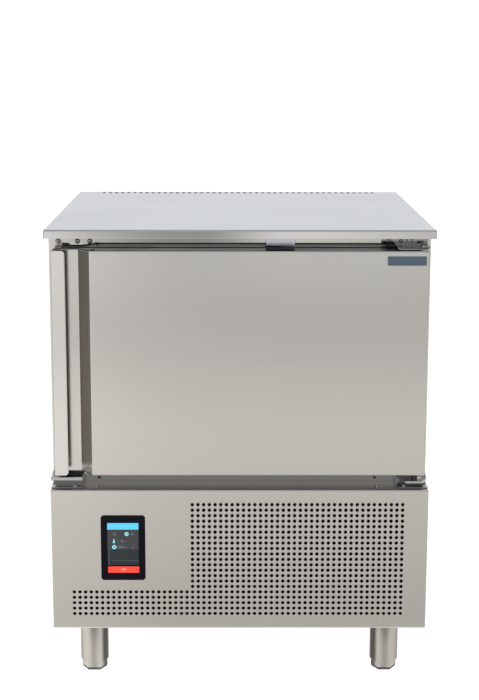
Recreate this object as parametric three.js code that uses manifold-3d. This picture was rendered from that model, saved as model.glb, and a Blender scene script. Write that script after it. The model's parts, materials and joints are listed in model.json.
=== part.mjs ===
// Five-tray blast chiller: a stainless cabinet with an insulated chamber over a refrigeration
// compartment, closed by one door with a full-height recessed pull. Millimetres, +X right, +Y back, +Z up.
// The origin is on the floor under the middle of the worktop.
import * as THREE from 'three';
import { mergeVertices } from 'three/addons/utils/BufferGeometryUtils.js';
import Module from 'manifold-3d';

const wasm = await Module();
wasm.setup();

// ---------------------------------------------------------------- driving dimensions

const WIDTH = 790; // worktop, side to side
const DEPTH = 800; // worktop, front to back
const HEIGHT = 950; // floor to worktop surface
const SHEET = 1.5; // stainless sheet
const SEAT = 0.3; // gap left where two pieces touch
const BEND = 1.5; // inside radius of a folded edge

const TOP_EDGE = 18; // drop of the worktop's folded edge
const BODY_INSET = 3; // worktop overhang at each side
const BACK_OVERHANG = 10; // worktop overhang behind the back panel
const FOOT_LENGTH = 107; // floor to the underside of the casing
const BASE_HEIGHT = 302; // refrigeration compartment, with its shelf
const FRAME_SETBACK = 68; // worktop front edge to the face of the door frame
const FRONT_FOLD = 28; // the casing sides' fold beside the door frame
const REAR_FOLD = 20; // their fold inside the back panel

const DOOR_BOTTOM_GAP = 31.4; // shelf to the door
const DOOR_TOP_GAP = 24.4; // door to the worktop's folded edge
const DOOR_SETBACK = 0.5; // door skin behind the worktop's front edge
const SEAL_GAP = 8; // back of the door to the frame
const DOOR_LEFT_INSET = 11; // door behind the casing's left side
const DOOR_RIGHT_INSET = 10;
const DOOR_FOLD = 15; // the skin's rear folds
const PANEL_SETBACK = 3; // compartment panel behind the worktop's front edge
const PANEL_FOLD = 18; // its bottom fold

const GRIP_LIP = 28.4; // width of the pull's front lip
const GRIP_DEPTH = 34.5; // depth of the finger channel
const GRIP_FLOOR = 52.5; // width of the channel's floor
const GRIP_SLOPE = 25; // sideways run of the channel's sloping wall
const GRIP_FLANGE = 16; // the pull's fold that is fixed to the channel's floor
const GRIP_CORNER = 6; // rounded corners of the lip

const SIDE_WALL = 62; // casing side to the chamber
const FLOOR_WALL = 56; // compartment shelf to the chamber's floor
const ROOF_WALL = 52; // chamber to the worktop's folded edge
const REAR_WALL = 43; // foam behind the chamber
const AIR_DUCT = 45.5; // foam to the outer face of the back panel
const CHAMBER_CORNER = 15; // coved corners

const CAP = { recess: 2, thickness: 12 }; // the blocks that close the door's ends
const INNER_PANEL = { inset: 2, field: 5.5, margin: 32, corner: 18 }; // the door's inside sheet
const GASKET = { width: 16, root: 2.2, lip: 10, lap: 4, corner: 12 };
const SWITCH = { x: 83, width: 60, height: 17, stand: 12, gap: 2.6, plunger: 1.8 };
const MAGNET = { x: 81.5, width: 57, depth: 48, setback: 6, height: 1.7 };

const HINGE_FROM_DOOR_SIDE = 9; // pivot axis inside the door's right side
const HINGE_FROM_FRONT = 30; // pivot axis behind the worktop's front edge
const PIN = { radius: 5, play: 0.4, reach: 14 }; // reach: length inside the door
const BUSH_RADIUS = 7;
const ARM = { width: 66, thickness: 8, setback: 20, rise: 15, foot: 2, footSetback: 14, corner: 4 };
const UPPER_ARM = { width: 94, thickness: 3.5, setback: 15, flange: 17, gap: 2.4, nose: 24, past: 12 };
const SCREW = { radius: 4.4, height: 2.4 };
const SHELF_SCREWS = { fromBracket: 33, setback: 34, shift: -5.5 };
const PLUG = { radius: 5.4, height: 3 };
const PLUG_DROP = 13.5; // below the worktop's folded edge
const PLUG_INSETS = [19.7, 59.4, 84.7]; // blanked hinge holes, in from the casing's left side

const PERF_DIAMETER = 12; // holes of the condenser's air inlet
const PERF_PITCH = 35.4;
const PERF_SIDES = 6;
const PERF_FROM_RIGHT = 54; // casing side to the last column
const PERF_FROM_LEFT = 46; // least distance from the other side
const PERF_FROM_BOTTOM = 40;
const PERF_FROM_TOP = 32;
const PERF_FULL_FROM = 290; // casing's left side to where the columns have their full height
const PERF_UNDER_DISPLAY = 12;

const VENT_COUNT = 45; // warm-air slots at the back of the worktop
const VENT_PITCH = 15.1;
const VENT_WIDTH = 7;
const VENT_LENGTH = 16;
const VENT_FROM_BACK = 24;
const LOUVRE = { width: 240, height: 8, pitch: 26, rows: 7, rise: 60, spread: 150 };
const BACK_MARGIN = 4; // the back panel is this much smaller than the casing
const DUCT_MARGIN = 40; // duct opening to the casing's sides
const CEILING_FOLD = 18; // side folds of the compartment's ceiling
const PAN_RIM = 22; // rear fold of the compartment's floor
const GLAND = { fromSide: 92, rise: 95, radius: 9, bore: 4, nut: 15, length: 9.5, inside: 12 };

const BEZEL = { width: 92.4, height: 140.2, corner: 6.5, proud: 2.2, ledge: 1.5 };
const GLASS = { width: 88, height: 136, corner: 4.5, thickness: 1 };
const HOUSING = { width: 83.4, height: 131.4, depth: 22, wall: 2 };
const LCD_THICKNESS = 4;
const SCREEN_FROM_LEFT = 149.5; // casing side to the display's middle
const SCREEN_RISE = 177.3; // casing underside to the display's middle

const TRAY_LEVELS = 5;
const TRAY_FIRST = 35; // chamber floor to the first ledge
const TRAY_HEADROOM = 30; // left over above the top tray's space
const RACK = { setback: 85, gap: 35, ledge: 36, web: 20, post: 15, stop: 8, postInset: 30 };

const FAN_PANEL = { fromBack: 160, sideGap: 58, wing: 70 };
const EVAP_FAN = { radius: 120, hub: 34, blades: 5, width: 30 };
const COND_FAN = { radius: 108, hub: 34, blades: 5, width: 30 };
const FAN_MARGIN = 6; // propeller tip to its panel's opening
const FAN_GAP = 5; // propeller behind its panel
const SHAFT = { radius: 4, play: 0.4 };
const MOTOR = { radius: 42, length: 38, neck: 4, arm: 8, reach: 20 };
const GUARD = { rings: 4, wire: 2.4, inner: 34, margin: 16 };

const EVAPORATOR = {
  x: -14, sideRoom: 180, depth: 70, headroom: 55, fins: 16, bends: 3, radius: 14, foot: 24,
};
const EVAPORATOR_GAP = 6; // to the chamber's rear wall
const CONDENSER = {
  x: 120, width: 430, depth: 46, headroom: 40, fins: 16, bends: 3, radius: 14, foot: 16,
};
const CONDENSER_SETBACK = 32;
const SHROUD = { depth: 32, inset: 6 };
const COMPRESSOR = { x: 175, setback: 400, radius: 88, headroom: 97, mount: 16, seam: 5 };
const STUB = { suction: { x: 52, y: 44 }, discharge: { x: -46, y: -34 }, height: 24 };
const RECEIVER = { x: -60, setback: 185, radius: 38, height: 190, neck: 16 };
const DRIER = { radius: 17, start: 250, length: 120, drop: 40 };
const LINE = { radius: 5, bend: 22 }; // liquid and discharge pipes
const SUCTION = { radius: 8, bend: 26, drop: 33 };
const PORT = { fromCoil: 54.2, fromBack: 45, radius: 26 }; // pipes' way through the insulation
const DRAIN = { x: 0, setback: 330, radius: 13, wall: 2, play: 1, flange: 24 };
const OUTLET = { x: 50, y: -35 }; // the drain's end, from the middle of the condensate tray
const TRAY = { fromSide: 172, fromBack: 195, width: 260, depth: 250, height: 42, wall: 2.5 };
const EBOX = { fromSide: 20, setback: 110, width: 222, depth: 190, height: 200 }; // the electrical box
const CONTACTOR = { width: 36, pitch: 50, depth: 65, height: 75, rise: 28 };
const LID_LIP = 12;

const FOOT = { fromSide: 82, front: 60, back: 65, radius: 30, wall: 3, plate: 37, chamfer: 3.5 };
const ADJUSTER = { hexagon: 26.5, hexHeight: 12, sole: 6, stem: 15, stemLength: 68 };
const FOOT_BUSH = { bottom: 40, top: 58, play: 0.4 };

// ---------------------------------------------------------------- places that follow from them

const front = (setback) => -DEPTH / 2 + setback; // a depth behind the worktop's front edge
const SIDE = WIDTH / 2 - BODY_INSET; // outer face of the casing
const INNER_SIDE = SIDE - SHEET - SEAT; // what stands against the casing's inner face
const BACK = DEPTH / 2 - BACK_OVERHANG; // outer face of the back panel
const CASING_BACK = BACK - SHEET - SEAT; // rear folds of the casing's sides
const INNER_BACK = CASING_BACK - SHEET - SEAT;
const WORKTOP_UNDER = HEIGHT - TOP_EDGE;
const SHELF = FOOT_LENGTH + BASE_HEIGHT; // top of the compartment's shelf
const FRAME = front(FRAME_SETBACK);
const BEHIND_FRAME = FRAME + SHEET + SEAT;
const FRAME_HALF = SIDE - FRONT_FOLD - SEAT;
const DOOR = {
  left: -SIDE + DOOR_LEFT_INSET,
  right: SIDE - DOOR_RIGHT_INSET,
  front: front(DOOR_SETBACK),
  back: front(FRAME_SETBACK - SEAL_GAP),
  bottom: SHELF + DOOR_BOTTOM_GAP,
  top: WORKTOP_UNDER - DOOR_TOP_GAP,
};
const HINGE = { x: DOOR.right - HINGE_FROM_DOOR_SIDE, y: front(HINGE_FROM_FRONT) };
const FOAM_BACK = BACK - AIR_DUCT;
const CHAMBER = {
  side: SIDE - SIDE_WALL,
  floor: SHELF + FLOOR_WALL,
  top: WORKTOP_UNDER - ROOF_WALL,
  middle: (SHELF + FLOOR_WALL + WORKTOP_UNDER - ROOF_WALL) / 2,
  back: FOAM_BACK - REAR_WALL - SHEET,
};
const CHAMBER_WIDTH = 2 * CHAMBER.side;
const CHAMBER_HEIGHT = CHAMBER.top - CHAMBER.floor;
const COIL_WIDTH = CHAMBER_WIDTH - EVAPORATOR.sideRoom;
const COIL_SIDE = EVAPORATOR.x + COIL_WIDTH / 2 + SHEET + SEAT; // the evaporator's right end plate
const PORT_X = COIL_SIDE + PORT.fromCoil;
const PORT_Y = CHAMBER.back - PORT.fromBack;
const TRAY_X = -SIDE + TRAY.fromSide;
const TRAY_Y = BACK - TRAY.fromBack;
const PAN_UNDER = FOOT_LENGTH + SHEET + SEAT;
const DECK = PAN_UNDER + SHEET + SEAT; // what stands in the compartment

// ---------------------------------------------------------------- finishes

const metal = (color, roughness) => new THREE.MeshStandardMaterial({ color, roughness, metalness: 1 });
const plain = (color, roughness) => new THREE.MeshStandardMaterial({ color, roughness, metalness: 0 });
const BRUSHED = metal(0xc4c2bd, 0.35);
const TOP_STEEL = metal(0xd2d4d6, 0.4);
const GALVANISED = metal(0xb9bdc0, 0.55);
const BRIGHT = metal(0xd9dadb, 0.2);
const COPPER = metal(0xb87a50, 0.35);
const ALUMINIUM = metal(0xb7bbbe, 0.5);
const FOAM = plain(0xe8dfae, 0.9);
const BLACK = plain(0x15161a, 0.45);
const GREY = plain(0xa9abae, 0.5);
const GLOSS_BLACK = plain(0x0b0c10, 0.08);
const CORE = plain(0xb08a5c, 0.8);
const SHELL_BLACK = plain(0x1b1c1e, 0.5);

// ---------------------------------------------------------------- making and joining solids

function solidOf(geometry) {
  const bare = new THREE.BufferGeometry();
  const source = geometry.index ? geometry.toNonIndexed() : geometry;
  bare.setAttribute('position', source.getAttribute('position').clone());
  const merged = mergeVertices(bare, 1e-3);
  return new wasm.Manifold(new wasm.Mesh({
    numProp: 3,
    vertProperties: merged.attributes.position.array,
    triVerts: new Uint32Array(merged.index.array),
  }));
}

function geometryOf(solid) {
  const mesh = solid.getMesh();
  const geometry = new THREE.BufferGeometry();
  geometry.setAttribute('position', new THREE.BufferAttribute(new Float32Array(mesh.vertProperties), 3));
  geometry.setIndex(new THREE.BufferAttribute(new Uint32Array(mesh.triVerts), 1));
  geometry.computeVertexNormals();
  return geometry;
}

function join(first, ...others) {
  return geometryOf(others.reduce((sum, other) => sum.add(solidOf(other)), solidOf(first)));
}

function cut(body, ...tools) {
  return geometryOf(tools.reduce((rest, tool) => rest.subtract(solidOf(tool)), solidOf(body)));
}

// A block from one corner to the opposite one.
function block(x0, y0, z0, x1, y1, z1) {
  const geometry = new THREE.BoxGeometry(x1 - x0, y1 - y0, z1 - z0);
  return geometry.translate((x0 + x1) / 2, (y0 + y1) / 2, (z0 + z1) / 2);
}

// A shape drawn in (X, Y) and raised from one height to another.
function raise(shape, z0, z1) {
  return extruded(shape, z1 - z0).translate(0, 0, z0);
}

// A shape drawn in (X, Z), as seen from the front, and given depth from y0 back to y1.
function deepen(shape, y0, y1) {
  return extruded(shape, y1 - y0).rotateX(Math.PI / 2).translate(0, y1, 0);
}

// A section drawn in (Y, Z), as seen from the right, and given width from x0 to x1.
function widen(shape, x0, x1) {
  return extruded(shape, x1 - x0).rotateZ(Math.PI / 2).rotateY(Math.PI / 2).translate(x0, 0, 0);
}

function extruded(shape, depth) {
  return new THREE.ExtrudeGeometry(shape, { depth, bevelEnabled: false, curveSegments: 3 });
}

function polygon(points) {
  return new THREE.Shape(points.map(([x, y]) => new THREE.Vector2(x, y)));
}

function roundedRectangle(width, height, corner, Kind = THREE.Shape, x = 0, y = 0) {
  const [w, h] = [width / 2, height / 2];
  const path = new Kind();
  path.moveTo(x - w + corner, y - h);
  path.lineTo(x + w - corner, y - h);
  path.absarc(x + w - corner, y - h + corner, corner, -Math.PI / 2, 0);
  path.lineTo(x + w, y + h - corner);
  path.absarc(x + w - corner, y + h - corner, corner, 0, Math.PI / 2);
  path.lineTo(x - w + corner, y + h);
  path.absarc(x - w + corner, y + h - corner, corner, Math.PI / 2, Math.PI);
  path.lineTo(x - w, y - h + corner);
  path.absarc(x - w + corner, y - h + corner, corner, Math.PI, Math.PI * 1.5);
  return path;
}

// A rounded rectangle with a smaller one taken out of it.
function rectangularRing(outer, inner) {
  const shape = roundedRectangle(outer.width, outer.height, outer.corner);
  shape.holes.push(roundedRectangle(inner.width, inner.height, inner.corner, THREE.Path));
  return shape;
}

function regularPolygon(x, y, radius, sides) {
  const angles = Array.from({ length: sides }, (_, i) => (2 * Math.PI * (i + 0.5)) / sides);
  return polygon(angles.map((a) => [x + radius * Math.cos(a), y + radius * Math.sin(a)]));
}

// The line a distance to the left of a path whose corners are bent round as a folded sheet's are. The path is
// the sheet's outer face, so a left-hand fold has its inside radius, BEND, one sheet away from the path.
function bentLine(path, distance, steps = 2) {
  const points = path.map(([x, y]) => new THREE.Vector2(x, y));
  const leftOf = (a, b) => new THREE.Vector2(a.y - b.y, b.x - a.x).normalize();
  return points.flatMap((p, i) => {
    const before = points[i - 1];
    const after = points[i + 1];
    if (!before || !after) {
      const normal = before ? leftOf(before, p) : leftOf(p, after);
      return [p.clone().addScaledVector(normal, distance)];
    }
    const n0 = leftOf(before, p);
    const n1 = leftOf(p, after);
    const turn = Math.atan2(n0.x * n1.y - n0.y * n1.x, n0.dot(n1));
    const radius = turn > 0 ? BEND + SHEET : -BEND; // from the path to the fold's centre, leftwards
    const centre = p.clone().addScaledVector(n0.clone().add(n1).normalize(), radius / Math.cos(turn / 2));
    const start = Math.atan2(n0.y, n0.x);
    return Array.from({ length: steps + 1 }, (_, k) => {
      const a = start + (turn * k) / steps;
      return centre.clone().addScaledVector(new THREE.Vector2(Math.cos(a), Math.sin(a)), distance - radius);
    });
  });
}

// The section of a folded sheet whose outer face is the path, with the sheet on the path's left.
function foldedSheet(path) {
  return new THREE.Shape([...bentLine(path, 0), ...bentLine(path, SHEET).reverse()]);
}

// A profile of [radius, height] points turned about the Z axis.
function turned(profile, segments = 12) {
  return turnedAlongY(profile, segments).rotateX(Math.PI / 2);
}

// The same, turned about an axis along Y: the profile's second number is the depth.
function turnedAlongY(profile, segments = 12) {
  return new THREE.LatheGeometry(profile.map(([r, y]) => new THREE.Vector2(r, y)), segments);
}

function rod(radius, z0, z1, sides = 12) {
  return turned([[0, z0], [radius, z0], [radius, z1], [0, z1]], sides);
}

function rodAlongY(radius, y0, y1, sides = 12) {
  return turnedAlongY([[0, y0], [radius, y0], [radius, y1], [0, y1]], sides);
}

// A tube's wall, from one height to another.
function sleeve(outer, inner, z0, z1, segments = 12) {
  return turned([[inner, z0], [outer, z0], [outer, z1], [inner, z1], [inner, z0]], segments);
}

// A pipe's centre line: straight runs joined by bends, with a knot only where the direction changes.
class Route extends THREE.Curve {
  constructor(corners, bend, bendSteps) {
    super();
    const points = corners.map((corner) => new THREE.Vector3(...corner));
    const last = points.length - 1;
    this.knots = [];
    const knot = (at, along) => this.knots.push({ at, along: along.normalize() });
    knot(points[0], points[1].clone().sub(points[0]));
    for (let i = 1; i < last; i++) {
      const arriving = points[i].clone().sub(points[i - 1]);
      const leaving = points[i + 1].clone().sub(points[i]);
      const reach = Math.min(bend, arriving.length() * 0.45, leaving.length() * 0.45);
      const arc = new THREE.QuadraticBezierCurve3(
        points[i].clone().addScaledVector(arriving.normalize(), -reach),
        points[i],
        points[i].clone().addScaledVector(leaving.normalize(), reach),
      );
      for (let k = 0; k <= bendSteps; k++) knot(arc.getPoint(k / bendSteps), arc.getTangent(k / bendSteps));
    }
    knot(points[last], points[last].clone().sub(points[last - 1]));
  }

  knotAt(u) {
    return this.knots[Math.round(u * (this.knots.length - 1))];
  }

  getPointAt(u) {
    return this.knotAt(u).at.clone();
  }

  getTangentAt(u) {
    return this.knotAt(u).along.clone();
  }
}

function pipe(corners, { radius, bend }, sides = 6, bendSteps = 3) {
  const extrudePath = new Route(corners, bend, bendSteps);
  const section = regularPolygon(0, 0, radius, sides);
  const steps = extrudePath.knots.length - 1;
  return new THREE.ExtrudeGeometry(section, { steps, bevelEnabled: false, extrudePath });
}

// A domed screw head that stands on z = 0.
function screwHead({ radius, height } = SCREW) {
  return turned([[0, 0], [radius, 0], [radius * 0.8, height * 0.8], [radius * 0.35, height], [0, height]], 8);
}

const chiller = new THREE.Group();

function place(name, geometry, material, x = 0, y = 0, z = 0) {
  const mesh = new THREE.Mesh(geometry, material);
  mesh.name = name;
  mesh.position.set(x, y, z);
  chiller.add(mesh);
}

// ---------------------------------------------------------------- worktop

// One sheet with all four edges folded down, and a row of warm-air slots over the rear duct.
function worktop() {
  const [w, d] = [WIDTH / 2, DEPTH / 2];
  const shell = cut(
    block(-w, -d, WORKTOP_UNDER, w, d, HEIGHT),
    block(-w + SHEET, -d + SHEET, WORKTOP_UNDER - SHEET, w - SHEET, d - SHEET, HEIGHT - SHEET),
  );
  const slots = Array.from({ length: VENT_COUNT }, (_, i) => {
    const x = (i - (VENT_COUNT - 1) / 2) * VENT_PITCH;
    const y = d - VENT_FROM_BACK;
    const [hw, hl] = [VENT_WIDTH / 2, VENT_LENGTH / 2];
    return block(x - hw, y - hl, HEIGHT - 2 * SHEET, x + hw, y + hl, HEIGHT + SHEET);
  });
  return cut(shell, ...slots);
}
place('worktop', worktop(), TOP_STEEL);

// The board that stiffens the worktop stops short of the duct, so the slots stay open.
place(
  'worktop_core',
  block(
    -WIDTH / 2 + SHEET + SEAT, -DEPTH / 2 + SHEET + SEAT, WORKTOP_UNDER + SEAT,
    WIDTH / 2 - SHEET - SEAT, FOAM_BACK, HEIGHT - SHEET - SEAT,
  ),
  CORE,
);

// ---------------------------------------------------------------- casing

// The plug of an unused hinge hole, on the frame's face.
function plug(inset) {
  const { radius, height } = PLUG;
  const head = [
    [0, -height], [radius * 0.6, -height], [radius, -height / 2], [radius, SHEET / 2], [0, SHEET / 2],
  ];
  return turnedAlongY(head, 8).translate(inset - SIDE, FRAME, WORKTOP_UNDER - PLUG_DROP);
}

// A casing side, folded round at the frame and at the back; hand is -1 on the left and 1 on the right.
function sidePanel(hand) {
  const plan = [
    [hand * (SIDE - FRONT_FOLD), FRAME], [hand * SIDE, FRAME],
    [hand * SIDE, CASING_BACK], [hand * (SIDE - REAR_FOLD), CASING_BACK],
  ];
  return raise(foldedSheet(hand > 0 ? plan : plan.reverse()), FOOT_LENGTH, WORKTOP_UNDER - SEAT);
}
place('side_panel_left', join(sidePanel(-1), plug(PLUG_INSETS[0])), BRUSHED);
place('side_panel_right', sidePanel(1), BRUSHED);

const BACK_BOTTOM = FOOT_LENGTH + BACK_MARGIN;
const GLAND_X = GLAND.fromSide - SIDE;

function backPanel() {
  const side = SIDE - BACK_MARGIN;
  const gland = rodAlongY(GLAND.radius + SEAT, BACK - 2 * SHEET, BACK + SHEET, 12);
  const openings = [gland.translate(GLAND_X, 0, BACK_BOTTOM + GLAND.rise)];
  for (const x of [-LOUVRE.spread, LOUVRE.spread]) {
    for (let row = 0; row < LOUVRE.rows; row++) {
      const z = BACK_BOTTOM + LOUVRE.rise + row * LOUVRE.pitch;
      openings.push(block(
        x - LOUVRE.width / 2, BACK - 2 * SHEET, z, x + LOUVRE.width / 2, BACK + SHEET, z + LOUVRE.height,
      ));
    }
  }
  return cut(block(-side, BACK - SHEET, BACK_BOTTOM, side, BACK, WORKTOP_UNDER - BACK_MARGIN), ...openings);
}
place('back_panel', backPanel(), GALVANISED);

// The lead itself is left out: only its gland and lock nut are here.
function cableGland() {
  const { radius, bore, nut, length, inside } = GLAND;
  const hexagon = (r, y0, y1) => new THREE.CylinderGeometry(r, r, y1 - y0, 6).translate(0, (y0 + y1) / 2, 0);
  const outside = BACK + SEAT;
  const inner = BACK - SHEET - SEAT;
  const body = turnedAlongY([
    [bore, BACK - inside], [radius, BACK - inside], [radius, outside + 1], [nut * 0.8, outside + 2],
    [nut * 0.5, BACK + length], [bore, BACK + length], [bore, BACK - inside],
  ], 12);
  const passage = rodAlongY(bore, BACK - 2 * inside, BACK + 2 * length, 12);
  return cut(join(hexagon(nut, outside, outside + 5), body, hexagon(nut * 0.87, inner - 4, inner)), passage);
}
place('cable_gland', cableGland(), BLACK, GLAND_X, 0, BACK_BOTTOM + GLAND.rise);

function chamberOutline(grow, Kind = THREE.Shape) {
  return roundedRectangle(
    CHAMBER_WIDTH + 2 * grow, CHAMBER_HEIGHT + 2 * grow, CHAMBER_CORNER + grow, Kind, 0, CHAMBER.middle,
  );
}

// The face that the door seals on, with the plugs of two unused hinge holes.
function doorFrame() {
  const [bottom, top] = [SHELF + SEAT, WORKTOP_UNDER - SEAT];
  const face = polygon([[-FRAME_HALF, bottom], [FRAME_HALF, bottom], [FRAME_HALF, top], [-FRAME_HALF, top]]);
  face.holes.push(chamberOutline(0, THREE.Path));
  return join(deepen(face, FRAME, FRAME + SHEET), ...PLUG_INSETS.slice(1).map(plug));
}
place('door_frame', doorFrame(), BRUSHED);

// The ways of the drain and of the refrigerant pipes through the chamber's floor.
function floorPorts(z0, z1) {
  return [
    rod(DRAIN.radius + DRAIN.wall + DRAIN.play, z0, z1).translate(DRAIN.x, front(DRAIN.setback), 0),
    rod(PORT.radius, z0, z1).translate(PORT_X, PORT_Y, 0),
  ];
}

// The chamber's lining: a coved tunnel closed at the back.
function chamberLiner() {
  const shell = cut(
    deepen(chamberOutline(SHEET), BEHIND_FRAME, CHAMBER.back + SHEET),
    deepen(chamberOutline(0), BEHIND_FRAME - SHEET, CHAMBER.back),
  );
  return cut(shell, ...floorPorts(CHAMBER.floor - 2 * SHEET, CHAMBER.floor + SHEET));
}
place('chamber_liner', chamberLiner(), BRUSHED);

// A plate that fills the casing's plan, with its corners cut off inside the casing's folds.
function casingPlate(y0, y1, z0, z1) {
  const [x, c] = [INNER_SIDE, BEND];
  return raise(polygon([
    [-x, y0 + c], [-x + c, y0], [x - c, y0], [x, y0 + c],
    [x, y1 - c], [x - c, y1], [-x + c, y1], [-x, y1 - c],
  ]), z0, z1);
}

function cabinetInsulation() {
  const gap = SHEET + SEAT;
  return cut(
    casingPlate(BEHIND_FRAME, FOAM_BACK - SEAT, SHELF + gap, WORKTOP_UNDER),
    deepen(chamberOutline(gap), BEHIND_FRAME - gap, CHAMBER.back + gap),
    ...floorPorts(SHELF, CHAMBER.floor),
  );
}
place('cabinet_insulation', cabinetInsulation(), FOAM);

// The sheet between the insulated body and the compartment, folded down at both sides.
function compartmentCeiling() {
  const y0 = BEHIND_FRAME + BEND;
  const section = foldedSheet([
    [INNER_SIDE, SHELF - CEILING_FOLD], [INNER_SIDE, SHELF + SHEET],
    [-INNER_SIDE, SHELF + SHEET], [-INNER_SIDE, SHELF - CEILING_FOLD],
  ]);
  const [z0, z1] = [SHELF - SHEET, SHELF + 2 * SHEET];
  const x = INNER_SIDE - DUCT_MARGIN;
  const duct = block(-x, FOAM_BACK + SHEET, z0, x, BACK, z1);
  return cut(deepen(section, y0, INNER_BACK - BEND), duct, ...floorPorts(z0, z1));
}
place('compartment_ceiling', compartmentCeiling(), GALVANISED);

// The sheet behind the foam, and the front wall of the warm-air duct.
place(
  'duct_wall',
  block(-INNER_SIDE, FOAM_BACK, SHELF + SHEET + SEAT, INNER_SIDE, FOAM_BACK + SHEET, WORKTOP_UNDER),
  GALVANISED,
);

// ---------------------------------------------------------------- compartment

const PANEL_FACE = front(PANEL_SETBACK);

// The floor of the compartment, with its rear edge folded up. Its front passes between the casing's folds.
function basePan() {
  const [wide, narrow, c] = [INNER_SIDE, FRAME_HALF, BEND];
  const [y0, y1] = [PANEL_FACE + SHEET + SEAT + BEND, INNER_BACK];
  const floor = raise(polygon([
    [-narrow, y0], [narrow, y0], [narrow, BEHIND_FRAME], [wide - c, BEHIND_FRAME], [wide, BEHIND_FRAME + c],
    [wide, y1 - c], [wide - c, y1], [-wide + c, y1], [-wide, y1 - c], [-wide, BEHIND_FRAME + c],
    [-wide + c, BEHIND_FRAME], [-narrow, BEHIND_FRAME],
  ]), PAN_UNDER, PAN_UNDER + SHEET);
  const rim = block(-wide + REAR_FOLD, y1 - SHEET, PAN_UNDER, wide - REAR_FOLD, y1, PAN_UNDER + PAN_RIM);
  return join(floor, rim);
}
place('base_pan', basePan(), GALVANISED);

const SCREEN = { x: -SIDE + SCREEN_FROM_LEFT, y: PANEL_FACE, z: FOOT_LENGTH + SCREEN_RISE };

// The air inlet's holes, in columns from the right; those under the display are short.
function perforations() {
  const holes = [];
  const count = (room) => Math.floor(room / PERF_PITCH) + 1;
  const columns = count(2 * SIDE - PERF_FROM_RIGHT - PERF_FROM_LEFT);
  const rows = count(BASE_HEIGHT - PERF_FROM_BOTTOM - PERF_FROM_TOP);
  const lowRows = count(SCREEN_RISE - BEZEL.height / 2 - PERF_UNDER_DISPLAY - PERF_FROM_BOTTOM);
  for (let column = 0; column < columns; column++) {
    const x = SIDE - PERF_FROM_RIGHT - column * PERF_PITCH;
    for (let row = 0; row < (x > PERF_FULL_FROM - SIDE ? rows : lowRows); row++) {
      const z = FOOT_LENGTH + PERF_FROM_BOTTOM + row * PERF_PITCH;
      const hole = regularPolygon(x, z, PERF_DIAMETER / 2, PERF_SIDES);
      holes.push(deepen(hole, PANEL_FACE - SHEET, PANEL_FACE + 2 * SHEET));
    }
  }
  return holes;
}

// One sheet: a perforated face with side returns, a deep shelf folded back under the door and a bottom fold.
function frontPanel() {
  const back = FRAME - SEAT;
  const tray = raise(foldedSheet([
    [-SIDE, back], [-SIDE, PANEL_FACE], [SIDE, PANEL_FACE], [SIDE, back],
  ]), FOOT_LENGTH, SHELF);
  const inside = SHEET / 2; // the level folds reach into the upright ones by half a sheet
  const [x, y] = [SIDE - inside, PANEL_FACE + inside];
  const corner = BEND + SHEET;
  const level = (depth) => polygon([
    [-x, y + corner], [-x + corner, y], [x - corner, y], [x, y + corner], [x, depth], [-x, depth],
  ]);
  const shelf = raise(level(back), SHELF - SHEET, SHELF);
  const bottomFold = raise(level(PANEL_FACE + PANEL_FOLD), FOOT_LENGTH, FOOT_LENGTH + SHEET);
  const spread = SIDE - ARM.width - SHELF_SCREWS.fromBracket;
  const screws = [-1, 1].map((hand) => screwHead().translate(
    SHELF_SCREWS.shift + hand * spread, front(SHELF_SCREWS.setback), SHELF - inside,
  ));
  const window = deepen(roundedRectangle(
    HOUSING.width + 2 * SEAT, HOUSING.height + 2 * SEAT, HOUSING.wall, THREE.Shape, SCREEN.x, SCREEN.z,
  ), PANEL_FACE - SHEET, PANEL_FACE + 2 * SHEET);
  return cut(join(tray, shelf, bottomFold, ...screws), window, ...perforations());
}
place('front_panel', frontPanel(), BRUSHED);

// ---------------------------------------------------------------- touch display

const HOUSING_INSIDE = {
  width: HOUSING.width - 2 * HOUSING.wall, height: HOUSING.height - 2 * HOUSING.wall, corner: 2,
};
const GLASS_FRONT = -BEZEL.proud + SEAT;

// A rim round the glass, a ledge that the glass lies on, and the box that passes through the panel.
function displayBezel() {
  const pocket = { width: GLASS.width + 2 * SEAT, height: GLASS.height + 2 * SEAT, corner: GLASS.corner };
  const outer = cut(
    deepen(rectangularRing(BEZEL, HOUSING_INSIDE), -BEZEL.proud, -SEAT),
    deepen(roundedRectangle(pocket.width, pocket.height, pocket.corner), -2 * BEZEL.proud,
      GLASS_FRONT + GLASS.thickness + SEAT),
  );
  const section = rectangularRing({ ...HOUSING, corner: HOUSING.wall }, HOUSING_INSIDE);
  const box = deepen(section, -2 * SEAT, HOUSING.depth);
  return join(outer, box);
}
place('display_bezel', displayBezel(), BLACK, SCREEN.x, SCREEN.y, SCREEN.z);

function displayGlass() {
  const outline = roundedRectangle(GLASS.width, GLASS.height, GLASS.corner);
  return deepen(outline, GLASS_FRONT, GLASS_FRONT + GLASS.thickness);
}
place('display_glass', displayGlass(), GLOSS_BLACK, SCREEN.x, SCREEN.y, SCREEN.z);

function displayPanel() {
  const [w, h] = [HOUSING_INSIDE.width / 2 - SEAT, HOUSING_INSIDE.height / 2 - SEAT];
  const y0 = GLASS_FRONT + GLASS.thickness + SEAT;
  const panel = deepen(roundedRectangle(2 * w, 2 * h, HOUSING_INSIDE.corner), y0, y0 + LCD_THICKNESS);
  return join(panel, block(-w * 0.6, y0 + 1, -h * 0.7, w * 0.6, HOUSING.depth - 4, h * 0.5));
}
place('display_panel', displayPanel(), GREY, SCREEN.x, SCREEN.y, SCREEN.z);

// ---------------------------------------------------------------- door

const CHANNEL = { back: DOOR.front + GRIP_DEPTH, floorEnd: DOOR.left + GRIP_FLOOR };

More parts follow.
